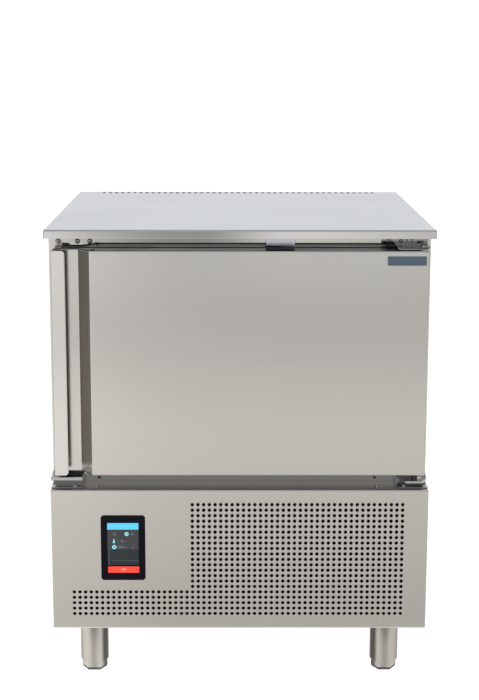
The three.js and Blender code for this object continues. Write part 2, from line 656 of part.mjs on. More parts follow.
// Plan of the skin's outer face, from the left rear fold round the channel and the front to the right.
const SKIN = [
  [DOOR.left + DOOR_FOLD, DOOR.back], [DOOR.left, DOOR.back], [DOOR.left, CHANNEL.back],
  [CHANNEL.floorEnd, CHANNEL.back], [CHANNEL.floorEnd + GRIP_SLOPE, DOOR.front], [DOOR.right, DOOR.front],
  [DOOR.right, DOOR.back], [DOOR.right - DOOR_FOLD, DOOR.back],
];
place('door_skin', raise(foldedSheet(SKIN), DOOR.bottom, DOOR.top), BRUSHED);

// The pull: a fold on the channel's floor, a side wall, and the lip that the fingers hook behind.
function doorHandle() {
  const [z0, z1] = [DOOR.bottom + SHEET / 3, DOOR.top - SHEET / 3];
  const { left } = DOOR;
  const [lipEnd, lipStart] = [left + GRIP_LIP, left + SHEET + BEND];
  const flangeFace = CHANNEL.back - SEAT;
  const rail = raise(foldedSheet([
    [left + GRIP_FLANGE, flangeFace], [left, flangeFace], [left, DOOR.front], [lipStart + SHEET, DOOR.front],
  ]), z0, z1);
  const lip = new THREE.Shape();
  lip.moveTo(lipStart, z0);
  lip.lineTo(lipEnd - GRIP_CORNER, z0);
  lip.absarc(lipEnd - GRIP_CORNER, z0 + GRIP_CORNER, GRIP_CORNER, -Math.PI / 2, 0);
  lip.lineTo(lipEnd, z1 - GRIP_CORNER);
  lip.absarc(lipEnd - GRIP_CORNER, z1 - GRIP_CORNER, GRIP_CORNER, 0, Math.PI / 2);
  lip.lineTo(lipStart, z1);
  return join(rail, deepen(lip, DOOR.front, DOOR.front + SHEET));
}
place('door_handle', doorHandle(), BRUSHED);

// What fills the skin, from one height to another, with a hole for a hinge pin.
function doorFilling(z0, z1, hole) {
  const fill = raise(new THREE.Shape(bentLine(SKIN, SHEET + SEAT)), z0, z1);
  return cut(fill, hole.translate(HINGE.x, HINGE.y, 0));
}

const CAP_BORE = PIN.radius + PIN.play;
const UPPER_CAP = { bottom: DOOR.top - CAP.recess - CAP.thickness, top: DOOR.top - CAP.recess };
const LOWER_CAP = { bottom: DOOR.bottom + CAP.recess, top: DOOR.bottom + CAP.recess + CAP.thickness };
for (const [name, cap] of [['door_cap_top', UPPER_CAP], ['door_cap_bottom', LOWER_CAP]]) {
  const bore = rod(CAP_BORE, cap.bottom - SHEET, cap.top + SHEET);
  place(name, doorFilling(cap.bottom, cap.top, bore), GREY);
}

function doorInsulation() {
  const [z0, z1] = [LOWER_CAP.top + SEAT, UPPER_CAP.bottom - SEAT];
  const fill = doorFilling(z0, z1, rod(CAP_BORE + SHEET, z0 - SHEET, z0 + PIN.reach));
  return cut(fill, rod(CAP_BORE + SHEET, z1 - PIN.reach, z1 + SHEET).translate(HINGE.x, HINGE.y, 0));
}
place('door_insulation', doorInsulation(), FOAM);

const INNER_FACE = DOOR.back + SEAT + SHEET;

// The door's inside sheet, with a pressed field that stands in the chamber's mouth.
function doorInnerPanel() {
  const { inset, margin, field, corner } = INNER_PANEL;
  const sheet = block(
    DOOR.left + inset, DOOR.back + SEAT, DOOR.bottom + inset,
    DOOR.right - inset, INNER_FACE, DOOR.top - inset,
  );
  const outline = (shrink) => roundedRectangle(
    CHAMBER_WIDTH - 2 * (margin + shrink), CHAMBER_HEIGHT - 2 * (margin + shrink), corner - shrink,
    THREE.Shape, 0, CHAMBER.middle,
  );
  return cut(
    join(sheet, deepen(outline(0), INNER_FACE - SHEET / 2, INNER_FACE + field)),
    deepen(outline(SHEET), DOOR.back - SHEET, INNER_FACE + field - SHEET),
  );
}
place('door_inner_panel', doorInnerPanel(), BRUSHED);

// A magnetic seal: a flat root in the door and a narrower bellows that meets the frame.
function doorGasket() {
  const { width, root, lip, lap, corner } = GASKET;
  const outline = (grow) => ({
    width: CHAMBER_WIDTH + 2 * (lap + grow), height: CHAMBER_HEIGHT + 2 * (lap + grow), corner: corner + grow,
  });
  const step = (width - lip) / 2;
  const y0 = INNER_FACE + SEAT;
  return join(
    deepen(rectangularRing(outline(width), outline(0)), y0, y0 + root),
    deepen(rectangularRing(outline(width - step), outline(step)), y0 + root / 2, FRAME - SEAT),
  );
}
place('door_gasket', doorGasket(), BLACK, 0, 0, CHAMBER.middle);

// The magnet that the door switch reads lies on the door's top cap.
place(
  'door_magnet',
  block(
    MAGNET.x - MAGNET.width / 2, front(MAGNET.setback), UPPER_CAP.top + SEAT,
    MAGNET.x + MAGNET.width / 2, front(MAGNET.setback + MAGNET.depth), DOOR.top + MAGNET.height,
  ),
  BLACK,
);

// A moulded cover on the frame, deeper at the bottom where its reed stands over the magnet.
function doorSwitch() {
  const back = FRAME - SEAT;
  const z0 = DOOR.top + SWITCH.gap;
  const section = polygon([
    [back, z0], [back - SWITCH.stand, z0], [back - SWITCH.stand, z0 + SWITCH.height * 0.7],
    [back - SWITCH.stand * 0.6, z0 + SWITCH.height], [back, z0 + SWITCH.height],
  ].reverse());
  const cover = widen(section, SWITCH.x - SWITCH.width / 2, SWITCH.x + SWITCH.width / 2);
  const reed = block(
    SWITCH.x, back - SWITCH.stand * 0.9, z0 - SWITCH.plunger, SWITCH.x + SWITCH.width * 0.4, back, z0 + SHEET,
  );
  return join(cover, reed);
}
place('door_switch', doorSwitch(), GREY);

// ---------------------------------------------------------------- hinges

const ARM_BOTTOM = SHELF + ARM.rise;
const ARM_TOP = ARM_BOTTOM + ARM.thickness;

// Both lower brackets are the same folded plate, screwed to the shelf; the right-hand one carries the pin.
function lowerBracket(hand, withPin) {
  const [inner, outer] = [hand * (SIDE - ARM.width), hand * SIDE].sort((a, b) => a - b);
  const back = FRAME - SEAT;
  const plate = ARM.foot;
  const [armFront, footFront] = [front(ARM.setback), front(ARM.footSetback)];
  // The section runs from the foot, up the riser and forward along the arm.
  const section = polygon([
    [footFront, SHELF + SEAT], [back, SHELF + SEAT], [back, ARM_TOP], [armFront + ARM.corner, ARM_TOP],
    [armFront, ARM_TOP - ARM.corner / 4], [armFront, ARM_BOTTOM + ARM.corner / 4],
    [armFront + ARM.corner, ARM_BOTTOM],
    [back - 2 * plate, ARM_BOTTOM], [back - 2 * plate, SHELF + SEAT + plate],
    [footFront, SHELF + SEAT + plate],
  ]);
  const screws = [0.14, 0.76].map((share) => screwHead().translate(
    hand * (SIDE - share * ARM.width), front(ARM.footSetback + 12), SHELF + SEAT + plate * 0.9,
  ));
  const pieces = [widen(section, inner, outer), ...screws];
  if (withPin) {
    const pin = rod(PIN.radius, ARM_TOP - SHEET, DOOR.bottom + PIN.reach);
    pieces.push(pin.translate(HINGE.x, HINGE.y, 0));
  }
  return join(...pieces);
}
place('hinge_bracket_lower', lowerBracket(1, true), BRIGHT);
place('hinge_bracket_spare', lowerBracket(-1, false), BRIGHT);

// The upper bracket: a flange screwed to the frame, a level arm cut back to its nose, and the pin.
function upperBracket() {
  const { width, thickness, setback, flange, gap, nose, past } = UPPER_ARM;
  const x1 = HINGE.x + past;
  const x0 = x1 - width;
  const back = FRAME - SEAT;
  const tip = front(setback);
  const z0 = DOOR.top + gap;
  const arm = raise(polygon([
    [x0, back], [x0, back - 4 * thickness], [x1 - nose - SHEET, tip + 2 * SHEET], [x1 - nose, tip],
    [x1 - 2 * SHEET, tip], [x1, tip + 2 * SHEET], [x1, back],
  ]), z0, z0 + thickness);
  const upright = block(x0, back - thickness, z0, x1, back, z0 + flange);
  const pin = turned([
    [0, DOOR.top - PIN.reach], [PIN.radius, DOOR.top - PIN.reach], [PIN.radius, z0 + thickness / 2],
    [PIN.radius + 2, z0 + thickness / 2], [PIN.radius + 2, z0 + thickness + 2.5], [0, z0 + thickness + 2.5],
  ], 12).translate(HINGE.x, HINGE.y, 0);
  const screws = [0.15, 0.41].map((share) => screwHead().rotateX(Math.PI / 2)
    .translate(x0 + share * width, back - thickness + SHEET / 5, z0 + flange * 0.6));
  return join(arm, upright, pin, ...screws);
}
place('hinge_bracket_upper', upperBracket(), BRIGHT);

// The bush that carries the door on the lower arm.
place(
  'hinge_bush', sleeve(BUSH_RADIUS, CAP_BORE, ARM_TOP + SEAT, LOWER_CAP.bottom - SEAT),
  BLACK, HINGE.x, HINGE.y, 0,
);

// ---------------------------------------------------------------- inside the chamber

const FAN_PANEL_Y = CHAMBER.back - FAN_PANEL.fromBack;

// One side of the tray rack: two posts on the chamber's wall, and an angle with an end stop for each tray.
function trayRack(hand) {
  const { setback, gap, ledge, web, post, stop, postInset } = RACK;
  const wall = CHAMBER.side - SEAT;
  const [y0, y1] = [front(setback), FAN_PANEL_Y - gap];
  const pitch = (CHAMBER_HEIGHT - TRAY_FIRST - TRAY_HEADROOM) / TRAY_LEVELS;
  const face = wall - post + SHEET / 2;
  const [bottom, top] = [CHAMBER.floor + CHAMBER_CORNER + SEAT, CHAMBER.top - CHAMBER_CORNER - SEAT];
  const posts = [y0 + postInset, y1 - postInset - post].map((y) => (
    block(wall - post, y, bottom, wall, y + post, top)
  ));
  const angle = (z) => deepen(polygon([
    [wall - ledge, z], [face, z], [face, z + web], [face - SHEET, z + web], [face - SHEET, z + SHEET],
    [wall - ledge, z + SHEET],
  ]), y0, y1);
  const end = (z) => block(wall - ledge, y1 - SHEET, z, face, y1, z + stop);
  const levels = Array.from({ length: TRAY_LEVELS }, (_, i) => CHAMBER.floor + TRAY_FIRST + i * pitch);
  const rack = join(...posts, ...levels.map(angle), ...levels.map(end));
  return hand > 0 ? rack : mirrored(rack);
}

function mirrored(geometry) {
  const flipped = geometry.toNonIndexed().scale(-1, 1, 1);
  const position = flipped.attributes.position;
  for (let i = 0; i < position.count; i += 3) {
    const [x, y, z] = [position.getX(i), position.getY(i), position.getZ(i)];
    position.setXYZ(i, position.getX(i + 1), position.getY(i + 1), position.getZ(i + 1));
    position.setXYZ(i + 1, x, y, z);
  }
  return geometryOf(solidOf(flipped));
}
place('tray_rack_left', trayRack(-1), BRIGHT);
place('tray_rack_right', trayRack(1), BRIGHT);

// The sheet between the trays and the evaporator; its wings turn the air to both sides.
function evaporatorPanel() {
  const [half, wing] = [CHAMBER.side - FAN_PANEL.sideGap, FAN_PANEL.wing];
  const y = FAN_PANEL_Y;
  const sheet = raise(foldedSheet([
    [-half, y + wing], [-half, y], [half, y], [half, y + wing],
  ]), CHAMBER.floor + SEAT, CHAMBER.top - SEAT);
  const opening = rodAlongY(EVAP_FAN.radius + FAN_MARGIN, y - SHEET, y + 2 * SHEET, 20);
  return cut(sheet, opening.translate(0, 0, CHAMBER.middle));
}
place('evaporator_panel', evaporatorPanel(), BRUSHED);

// Rings on four spokes, as one welded grille; the axis is Y and the spokes lie behind the rings.
function fanGuard(fanRadius) {
  const { rings, wire, inner, margin } = GUARD;
  const outer = fanRadius + margin;
  const hoops = Array.from({ length: rings }, (_, i) => {
    const r = outer - (i * (outer - inner)) / (rings - 1);
    return turnedAlongY([[r - wire, 0], [r, 0], [r, wire], [r - wire, wire], [r - wire, 0]], 12);
  });
  const spokes = [1, 3].map((turn) => block(-outer, wire / 2, -wire / 2, outer, wire * 1.5, wire / 2)
    .rotateY((turn * Math.PI) / 4));
  return join(...hoops, ...spokes);
}
place(
  'evaporator_fan_guard', fanGuard(EVAP_FAN.radius), BRIGHT,
  0, FAN_PANEL_Y - SEAT - GUARD.wire * 1.5, CHAMBER.middle,
);

// A propeller blade: a bowed plate that loses pitch towards its tip, as a closed grid of two faces.
function blade({ radius, hub, width }) {
  const [along, across] = [3, 2]; // cells of the grid
  const thickness = 2;
  const sink = 3; // how far the root reaches into the hub
  const point = (i, j, face) => {
    const s = i / along;
    const t = j / across - 0.5;
    const r = hub - sink + s * (radius - hub + sink);
    const pitch = THREE.MathUtils.degToRad(50 - 22 * s);
    const chord = width * (1.35 + 0.9 * s - 0.35 * s * s);
    const bow = 0.12 * chord * (1 - 4 * t * t);
    const angle = (t * chord * Math.cos(pitch) - bow * Math.sin(pitch)) / r;
    const depth = 0.62 * t * chord * Math.sin(pitch) + bow * Math.cos(pitch) + face * thickness;
    return [r * Math.cos(angle), depth, r * Math.sin(angle)];
  };
  const position = [];
  for (const face of [0, 1]) {
    for (let i = 0; i <= along; i++) for (let j = 0; j <= across; j++) position.push(...point(i, j, face));
  }
  const id = (i, j, face) => (face * (along + 1) + i) * (across + 1) + j;
  const index = [];
  const quad = (a, b, c, d) => index.push(a, b, c, a, c, d);
  for (let i = 0; i < along; i++) {
    for (let j = 0; j < across; j++) {
      quad(id(i, j, 0), id(i + 1, j, 0), id(i + 1, j + 1, 0), id(i, j + 1, 0));
      quad(id(i, j, 1), id(i, j + 1, 1), id(i + 1, j + 1, 1), id(i + 1, j, 1));
    }
    quad(id(i, 0, 0), id(i, 0, 1), id(i + 1, 0, 1), id(i + 1, 0, 0));
    quad(id(i, across, 0), id(i + 1, across, 0), id(i + 1, across, 1), id(i, across, 1));
  }
  for (let j = 0; j < across; j++) {
    quad(id(0, j, 0), id(0, j + 1, 0), id(0, j + 1, 1), id(0, j, 1));
    quad(id(along, j, 0), id(along, j, 1), id(along, j + 1, 1), id(along, j + 1, 0));
  }
  const geometry = new THREE.BufferGeometry();
  geometry.setAttribute('position', new THREE.Float32BufferAttribute(position, 3));
  geometry.setIndex(index);
  return geometry;
}

function propeller(fan) {
  const step = (2 * Math.PI) / fan.blades;
  const blades = Array.from({ length: fan.blades }, (_, k) => blade(fan).rotateY(k * step));
  const hub = rodAlongY(fan.hub, -fan.width / 2, fan.width / 2, 14);
  return cut(join(hub, ...blades), rodAlongY(SHAFT.radius + SHAFT.play, -fan.width / 4, fan.width, 10));
}

// A fan motor behind its propeller: a can, a shaft, and four arms that come forward to the fan's panel.
function fanMotor(fan) {
  const { radius, length, neck, arm, reach } = MOTOR;
  const start = fan.width / 2 + neck;
  const can = turnedAlongY([
    [0, start], [radius * 0.7, start], [radius, start + 6], [radius, start + length - 6],
    [radius * 0.85, start + length], [0, start + length],
  ], 12);
  const shaft = rodAlongY(SHAFT.radius, 0, start + SHEET, 10);
  const panel = SEAT - fan.width / 2 - FAN_GAP;
  const span = fan.radius + reach;
  // An arm's section: out along the can's front, forward past the propeller, and a foot on the panel.
  const section = polygon([
    [span - 3, start + 8], [span - 3, panel], [span + 12, panel], [span + 12, panel + 2],
    [span, panel + 2], [span, start + 11], [radius / 2, start + 11], [radius / 2, start + 8],
  ]);
  const arms = Array.from({ length: 4 }, (_, k) => raise(section, -arm / 2, arm / 2)
    .rotateY(Math.PI / 4 + (k * Math.PI) / 2));
  return join(can, shaft, ...arms);
}

const EVAP_FAN_Y = FAN_PANEL_Y + SHEET + FAN_GAP + EVAP_FAN.width / 2;
place('evaporator_fan', propeller(EVAP_FAN), SHELL_BLACK, 0, EVAP_FAN_Y, CHAMBER.middle);
place('evaporator_motor', fanMotor(EVAP_FAN), SHELL_BLACK, 0, EVAP_FAN_Y, CHAMBER.middle);

// A finned coil: a comb of fins on a core, between two end plates that stand on the floor, with return bends.
function finnedCoil({ width, depth, height, fins, bends, radius, foot }) {
  const pitch = width / fins;
  const [face, root] = [-depth / 2, depth * 0.38];
  const comb = [[width / 2, root], [width / 2, depth / 2], [-width / 2, depth / 2], [-width / 2, root]];
  for (let i = 0; i < fins; i++) {
    const x = -width / 2 + (i + 0.5) * pitch;
    comb.push([x - pitch / 6, root], [x - pitch / 6, face], [x + pitch / 6, face], [x + pitch / 6, root]);
  }
  const core = raise(polygon(comb), foot, height);
  const plates = [-width / 2, width / 2].map((x) => block(x - SHEET, face, 0, x + SHEET, -face, height));
  const returns = [-1, 1].flatMap((hand) => Array.from({ length: bends }, (_, i) => {
    const z = foot + ((height - foot) * (i + (hand < 0 ? 0.5 : 1))) / (bends + 0.5);
    const x = (hand * width) / 2;
    const out = x + hand * (SHEET + radius);
    return pipe([[x, 0, z - radius], [out, 0, z - radius], [out, 0, z + radius], [x, 0, z + radius]],
      { radius: radius / 3, bend: radius }, 4, 2);
  }));
  return join(core, ...plates, ...returns);
}

const EVAPORATOR_Y = CHAMBER.back - EVAPORATOR_GAP - EVAPORATOR.depth / 2;
place(
  'evaporator_coil',
  finnedCoil({ ...EVAPORATOR, width: COIL_WIDTH, height: CHAMBER_HEIGHT - EVAPORATOR.headroom }),
  ALUMINIUM, EVAPORATOR.x, EVAPORATOR_Y, CHAMBER.floor + SEAT,
);

// ---------------------------------------------------------------- drain

const DRAIN_Y = front(DRAIN.setback);
const TRAY_TOP = DECK + TRAY.height;

// A flanged spigot through the chamber's floor that leads to the condensate tray.
function drainPipe() {
  const radius = DRAIN.radius + DRAIN.wall;
  const level = SHELF - CEILING_FOLD - radius - DRAIN.wall;
  const [ox, oy] = [TRAY_X + OUTLET.x, TRAY_Y + OUTLET.y];
  const line = pipe([
    [DRAIN.x, DRAIN_Y, CHAMBER.floor - DRAIN.wall], [DRAIN.x, DRAIN_Y, level],
    [DRAIN.x, oy, level - DRAIN.wall], [ox, oy, level - 3 * DRAIN.wall], [ox, oy, TRAY_TOP - DRAIN.wall],
  ], { radius, bend: 30 }, 8);
  const flange = turned([
    [0, CHAMBER.floor - 2 * DRAIN.wall], [radius * 0.9, CHAMBER.floor - 2 * DRAIN.wall],
    [radius * 0.9, CHAMBER.floor + SEAT], [DRAIN.flange, CHAMBER.floor + SEAT],
    [DRAIN.flange, CHAMBER.floor + SHEET], [DRAIN.radius, CHAMBER.floor + SHEET],
    [DRAIN.radius * 0.8, CHAMBER.floor], [0, CHAMBER.floor],
  ], 12).translate(DRAIN.x, DRAIN_Y, 0);
  return join(line, flange);
}
place('drain_pipe', drainPipe(), GREY);

function condensateTray() {
  const [w, d] = [TRAY.width / 2, TRAY.depth / 2];
  const { wall } = TRAY;
  return cut(
    block(-w, -d, DECK, w, d, TRAY_TOP),
    block(-w + wall, -d + wall, DECK + wall, w - wall, d - wall, TRAY_TOP + wall),
  ).translate(TRAY_X, TRAY_Y, 0);
}
place('condensate_tray', condensateTray(), BLACK);

// ---------------------------------------------------------------- refrigeration

const CONDENSER_Y = front(CONDENSER_SETBACK) + CONDENSER.depth / 2;
const CONDENSER_HEIGHT = BASE_HEIGHT - CONDENSER.headroom;
place(
  'condenser_coil', finnedCoil({ ...CONDENSER, height: CONDENSER_HEIGHT }),
  ALUMINIUM, CONDENSER.x, CONDENSER_Y, DECK,
);

const SHROUD_FRONT = CONDENSER_Y + CONDENSER.depth / 2 + SEAT;
const SHROUD_BACK = SHROUD_FRONT + SHROUD.depth;
const COND_FAN_Z = DECK + CONDENSER_HEIGHT / 2;

// The cowl that makes the propeller draw air through the whole coil.
function condenserShroud() {
  const half = CONDENSER.width / 2 - SHROUD.inset;
  const sheet = raise(foldedSheet([
    [half, SHROUD_FRONT], [half, SHROUD_BACK], [-half, SHROUD_BACK], [-half, SHROUD_FRONT],
  ]), DECK, DECK + CONDENSER_HEIGHT);
  const opening = rodAlongY(COND_FAN.radius + FAN_MARGIN, SHROUD_BACK - 2 * SHEET, SHROUD_BACK + SHEET, 20);
  return cut(sheet, opening.translate(0, 0, COND_FAN_Z));
}
place('condenser_shroud', condenserShroud(), GALVANISED, CONDENSER.x, 0, 0);

const COND_FAN_Y = SHROUD_BACK + FAN_GAP + COND_FAN.width / 2;
place('condenser_fan', propeller(COND_FAN), SHELL_BLACK, CONDENSER.x, COND_FAN_Y, COND_FAN_Z);
place('condenser_motor', fanMotor(COND_FAN), SHELL_BLACK, CONDENSER.x, COND_FAN_Y, COND_FAN_Z);

const COMPRESSOR_HEIGHT = BASE_HEIGHT - COMPRESSOR.headroom;

// A hermetic compressor: a domed can with a welded seam on a foot plate, standing on four rubber mounts.
function compressor() {
  const { radius: r, mount, seam } = COMPRESSOR;
  const h = COMPRESSOR_HEIGHT;
  const can = turned([
    [0, mount], [r * 0.62, mount], [r * 0.92, mount + 16], [r, mount + 44], [r, h * 0.56],
    [r + seam, h * 0.57], [r + seam, h * 0.61], [r - 1, h * 0.62], [r * 0.96, h * 0.75],
    [r * 0.8, h * 0.92], [r * 0.4, h], [0, h],
  ], 14);
  const plate = raise(roundedRectangle(2.3 * r, 1.4 * r, mount), mount - 3, mount + 2);
  const mounts = [[-1, -1], [1, -1], [1, 1], [-1, 1]].map(([sx, sy]) => rod(11, 0, mount, 8)
    .translate(sx * r, sy * r * 0.55, 0));
  const terminals = block(r - mount, -26, h * 0.3, r + mount, 26, h * 0.5);
  const stub = ({ x, y }, radius) => rod(radius, h * 0.7, h + STUB.height, 6).translate(x, y, 0);
  const stubs = [stub(STUB.discharge, LINE.radius), stub(STUB.suction, SUCTION.radius)];
  return join(can, plate, ...mounts, terminals, ...stubs);
}
const COMPRESSOR_Y = front(COMPRESSOR.setback);
place('compressor', compressor(), SHELL_BLACK, COMPRESSOR.x, COMPRESSOR_Y, DECK);

function stubEnd({ x, y }) {
  return [COMPRESSOR.x + x, COMPRESSOR_Y + y, DECK + COMPRESSOR_HEIGHT + STUB.height + SEAT];
}

// The liquid receiver: a short vertical vessel on a foot, with a valve neck.
function receiver() {
  const { radius: r, height: h, neck } = RECEIVER;
  const vessel = turned([
    [0, 0], [r + 4, 0], [r + 4, 3], [r * 0.6, 5], [r * 0.8, 10], [r, 22], [r, h - 20],
    [r * 0.7, h - 4], [r * 0.3, h], [r * 0.25, h + neck], [0, h + neck],
  ], 14);
  return vessel;
}
place('receiver', receiver(), SHELL_BLACK, RECEIVER.x, front(RECEIVER.setback), DECK);

const DRIER_Z = SHELF - DRIER.drop;
const DRIER_END = front(DRIER.start) + DRIER.length;

// The filter drier, with the tube that feeds it from the receiver.
function filterDrier() {
  const { radius, length } = DRIER;
  const [x, y] = [RECEIVER.x, front(RECEIVER.setback)];
  const start = front(DRIER.start);
  const body = turnedAlongY([
    [0, 0], [LINE.radius + 1, 0], [radius, radius], [radius, length - radius],
    [LINE.radius + 1, length], [0, length],
  ], 12).translate(x, start, DRIER_Z);
  const top = DECK + RECEIVER.height + RECEIVER.neck + SEAT;
  return join(body, pipe([[x, y, top], [x, y, DRIER_Z], [x, start + SHEET, DRIER_Z]], LINE));
}
place('filter_drier', filterDrier(), COPPER);

const PORT_SPREAD = 10; // the two pipes lie this far before and behind the port's middle

function liquidPipe() {
  const [x, y] = [PORT_X - PORT.radius / 2, PORT_Y - PORT_SPREAD];
  const z = CHAMBER.floor + EVAPORATOR.foot * 3.6;
  const level = DRIER_Z - 6 * LINE.radius; // under the drain
  return pipe([
    [RECEIVER.x, DRIER_END + SEAT, DRIER_Z], [RECEIVER.x, DRIER_END + 2 * LINE.bend, DRIER_Z],
    [RECEIVER.x + 2 * LINE.bend, TRAY_Y, level], [x, y, level], [x, y, z], [COIL_SIDE, y, z],
  ], LINE);
}
place('liquid_pipe', liquidPipe(), COPPER);

function suctionPipe() {
  const start = stubEnd(STUB.suction);
  const level = SHELF - SUCTION.drop;
  const [x, y] = [PORT_X + PORT.radius * 0.45, PORT_Y + PORT_SPREAD];
  const z = CHAMBER.floor + EVAPORATOR.foot * 2;
  return pipe([start, [start[0], start[1], level], [x, y, level], [x, y, z], [COIL_SIDE, y, z]], SUCTION);
}
place('suction_pipe', suctionPipe(), SHELL_BLACK);

function dischargePipe() {
  const start = stubEnd(STUB.discharge);
  const plate = CONDENSER.x + CONDENSER.width / 2 + SHEET + SEAT;
  const level = DECK + CONDENSER_HEIGHT - CONDENSER.radius / 2;
  const x = plate + 0.9 * LINE.bend; // inside the casing's front fold
  return pipe([
    start, [start[0], start[1], level], [x, start[1], level], [x, CONDENSER_Y, level],
    [plate, CONDENSER_Y, level],
  ], LINE);
}
place('discharge_pipe', dischargePipe(), COPPER);

// ---------------------------------------------------------------- electrical box

const EBOX_BOUNDS = {
  x0: -SIDE + EBOX.fromSide, x1: -SIDE + EBOX.fromSide + EBOX.width,
  y0: front(EBOX.setback), y1: front(EBOX.setback + EBOX.depth), z1: DECK + EBOX.height,
};

// An open-fronted box with contactors and a power supply on its back plate.
function electricalBox() {
  const { x0, x1, y0, y1, z1 } = EBOX_BOUNDS;
  const inside = y1 - SHEET;
  const shell = cut(
    block(x0, y0, DECK, x1, y1, z1),
    block(x0 + SHEET, y0 - SHEET, DECK + SHEET, x1 - SHEET, inside, z1 - SHEET),
  );
  const { width, pitch, depth, height, rise } = CONTACTOR;
  const contactors = [0, 1, 2].map((i) => {
    const [x, z] = [x0 + rise + i * pitch, DECK + rise];
    return block(x, inside - depth, z, x + width, inside + SHEET / 2, z + height);
  });
  const supply = block(
    x0 + rise, inside - depth * 0.7, z1 - height, x1 - rise, inside + SHEET / 2, z1 - rise,
  );
  return join(shell, ...contactors, supply);
}
place('electrical_box', electricalBox(), GALVANISED);

function electricalBoxLid() {
  const { x0, x1, y0, z1 } = EBOX_BOUNDS;
  const gap = SHEET + SEAT;
  return cut(
    block(x0 - gap, y0 - gap, DECK, x1 + gap, y0 + LID_LIP, z1 + gap),
    block(x0 - SEAT, y0 - SEAT, DECK - SHEET, x1 + SEAT, y0 + 2 * LID_LIP, z1 + SEAT),
  );
}
place('electrical_box_lid', electricalBoxLid(), GALVANISED);

// ---------------------------------------------------------------- feet

const HEX_TOP = ADJUSTER.sole + ADJUSTER.hexHeight;

// A stainless sleeve under a square plate, with a threaded bush inside for the adjuster.
function footSleeve() {
  const { radius: r, wall, chamfer, plate } = FOOT;
  const top = PAN_UNDER - SEAT;
  const bottom = HEX_TOP + SEAT;
  const tube = turned([
    [r - wall, bottom], [r - chamfer * 0.6, bottom], [r, bottom + chamfer], [r, top - SHEET],
    [r - wall, top - SHEET], [r - wall, bottom],
  ], 16);
  const bush = sleeve(r - wall / 2, ADJUSTER.stem + FOOT_BUSH.play, FOOT_BUSH.bottom, FOOT_BUSH.top, 14);
  return join(tube, bush, block(-plate, -plate, top - 2 * SHEET, plate, plate, top));
}

// The adjuster: a hexagon to turn it by, a stem that screws into the sleeve, and a plastic sole.
function footAdjuster() {
  const { hexagon, sole, stem, stemLength } = ADJUSTER;
  const prism = (r0, r1, z0, z1) => new THREE.CylinderGeometry(r1, r0, z1 - z0, 6)
    .rotateX(Math.PI / 2).rotateZ(Math.PI / 6).translate(0, 0, (z0 + z1) / 2);
  return join(
    prism(hexagon, hexagon, sole - SEAT, HEX_TOP),
    prism(hexagon * 0.94, hexagon * 0.97, 0, sole),
    rod(stem, HEX_TOP - SHEET, HEX_TOP + stemLength, 14),
  );
}

for (const [end, y] of [['front', front(FOOT.front)], ['rear', DEPTH / 2 - FOOT.back]]) {
  for (const [hand, x] of [['left', FOOT.fromSide - SIDE], ['right', SIDE - FOOT.fromSide]]) {
    place(`foot_sleeve_${end}_${hand}`, footSleeve(), BRUSHED, x, y, 0);
    place(`foot_adjuster_${end}_${hand}`, footAdjuster(), BRUSHED, x, y, 0);
  }
}

export default chiller;
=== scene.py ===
"""An undercounter blast chiller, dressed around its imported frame.

Shapes are worked out in millimetres in the frame's own axes: X to the right as the door is faced, Y to the
back, Z up.
"""
import json
import math

import bmesh
import bpy
import numpy as np
from mathutils import Matrix, Vector


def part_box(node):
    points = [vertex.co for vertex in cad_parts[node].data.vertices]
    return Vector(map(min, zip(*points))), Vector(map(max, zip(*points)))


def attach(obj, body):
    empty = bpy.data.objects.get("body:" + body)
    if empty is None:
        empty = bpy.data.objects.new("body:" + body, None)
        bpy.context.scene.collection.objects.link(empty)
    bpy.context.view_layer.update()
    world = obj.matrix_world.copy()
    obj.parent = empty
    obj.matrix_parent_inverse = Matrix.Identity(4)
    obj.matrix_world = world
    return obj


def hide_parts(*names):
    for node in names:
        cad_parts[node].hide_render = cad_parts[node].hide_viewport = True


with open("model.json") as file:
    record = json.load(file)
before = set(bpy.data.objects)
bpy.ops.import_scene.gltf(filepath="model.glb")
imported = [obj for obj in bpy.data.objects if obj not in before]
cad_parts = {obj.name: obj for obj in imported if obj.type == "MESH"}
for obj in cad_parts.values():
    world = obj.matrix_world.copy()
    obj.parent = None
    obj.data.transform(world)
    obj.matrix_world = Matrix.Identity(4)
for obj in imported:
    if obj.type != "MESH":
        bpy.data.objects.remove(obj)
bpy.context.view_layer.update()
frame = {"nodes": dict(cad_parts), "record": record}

bl_info = {
    "name": "Blast chiller",
    "version": (1, 0, 0),
    "blender": (4, 5, 0),
    "location": "3D View > Sidebar > Chiller",
    "description": "Builds the visible surfaces of an undercounter blast chiller around its solids",
    "category": "Add Mesh",
}

MM = 0.001


def mm(metres):
    return metres / MM


def span(node):
    """Lowest and highest corner of a solid, in millimetres."""
    low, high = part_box(node)
    return np.array(low) / MM, np.array(high) / MM


WORKTOP = span("worktop")
FRAME_FACE = span("hinge_bracket_upper")[1][1] + 0.3
SHELF = span("hinge_bracket_lower")[0][2] - 0.3
PANEL = span("front_panel")
DOOR = span("door_skin")
BEZEL = span("display_bezel")
GLASS = span("display_glass")


# ---------------------------------------------------------------- sizes and finishes that a user would change


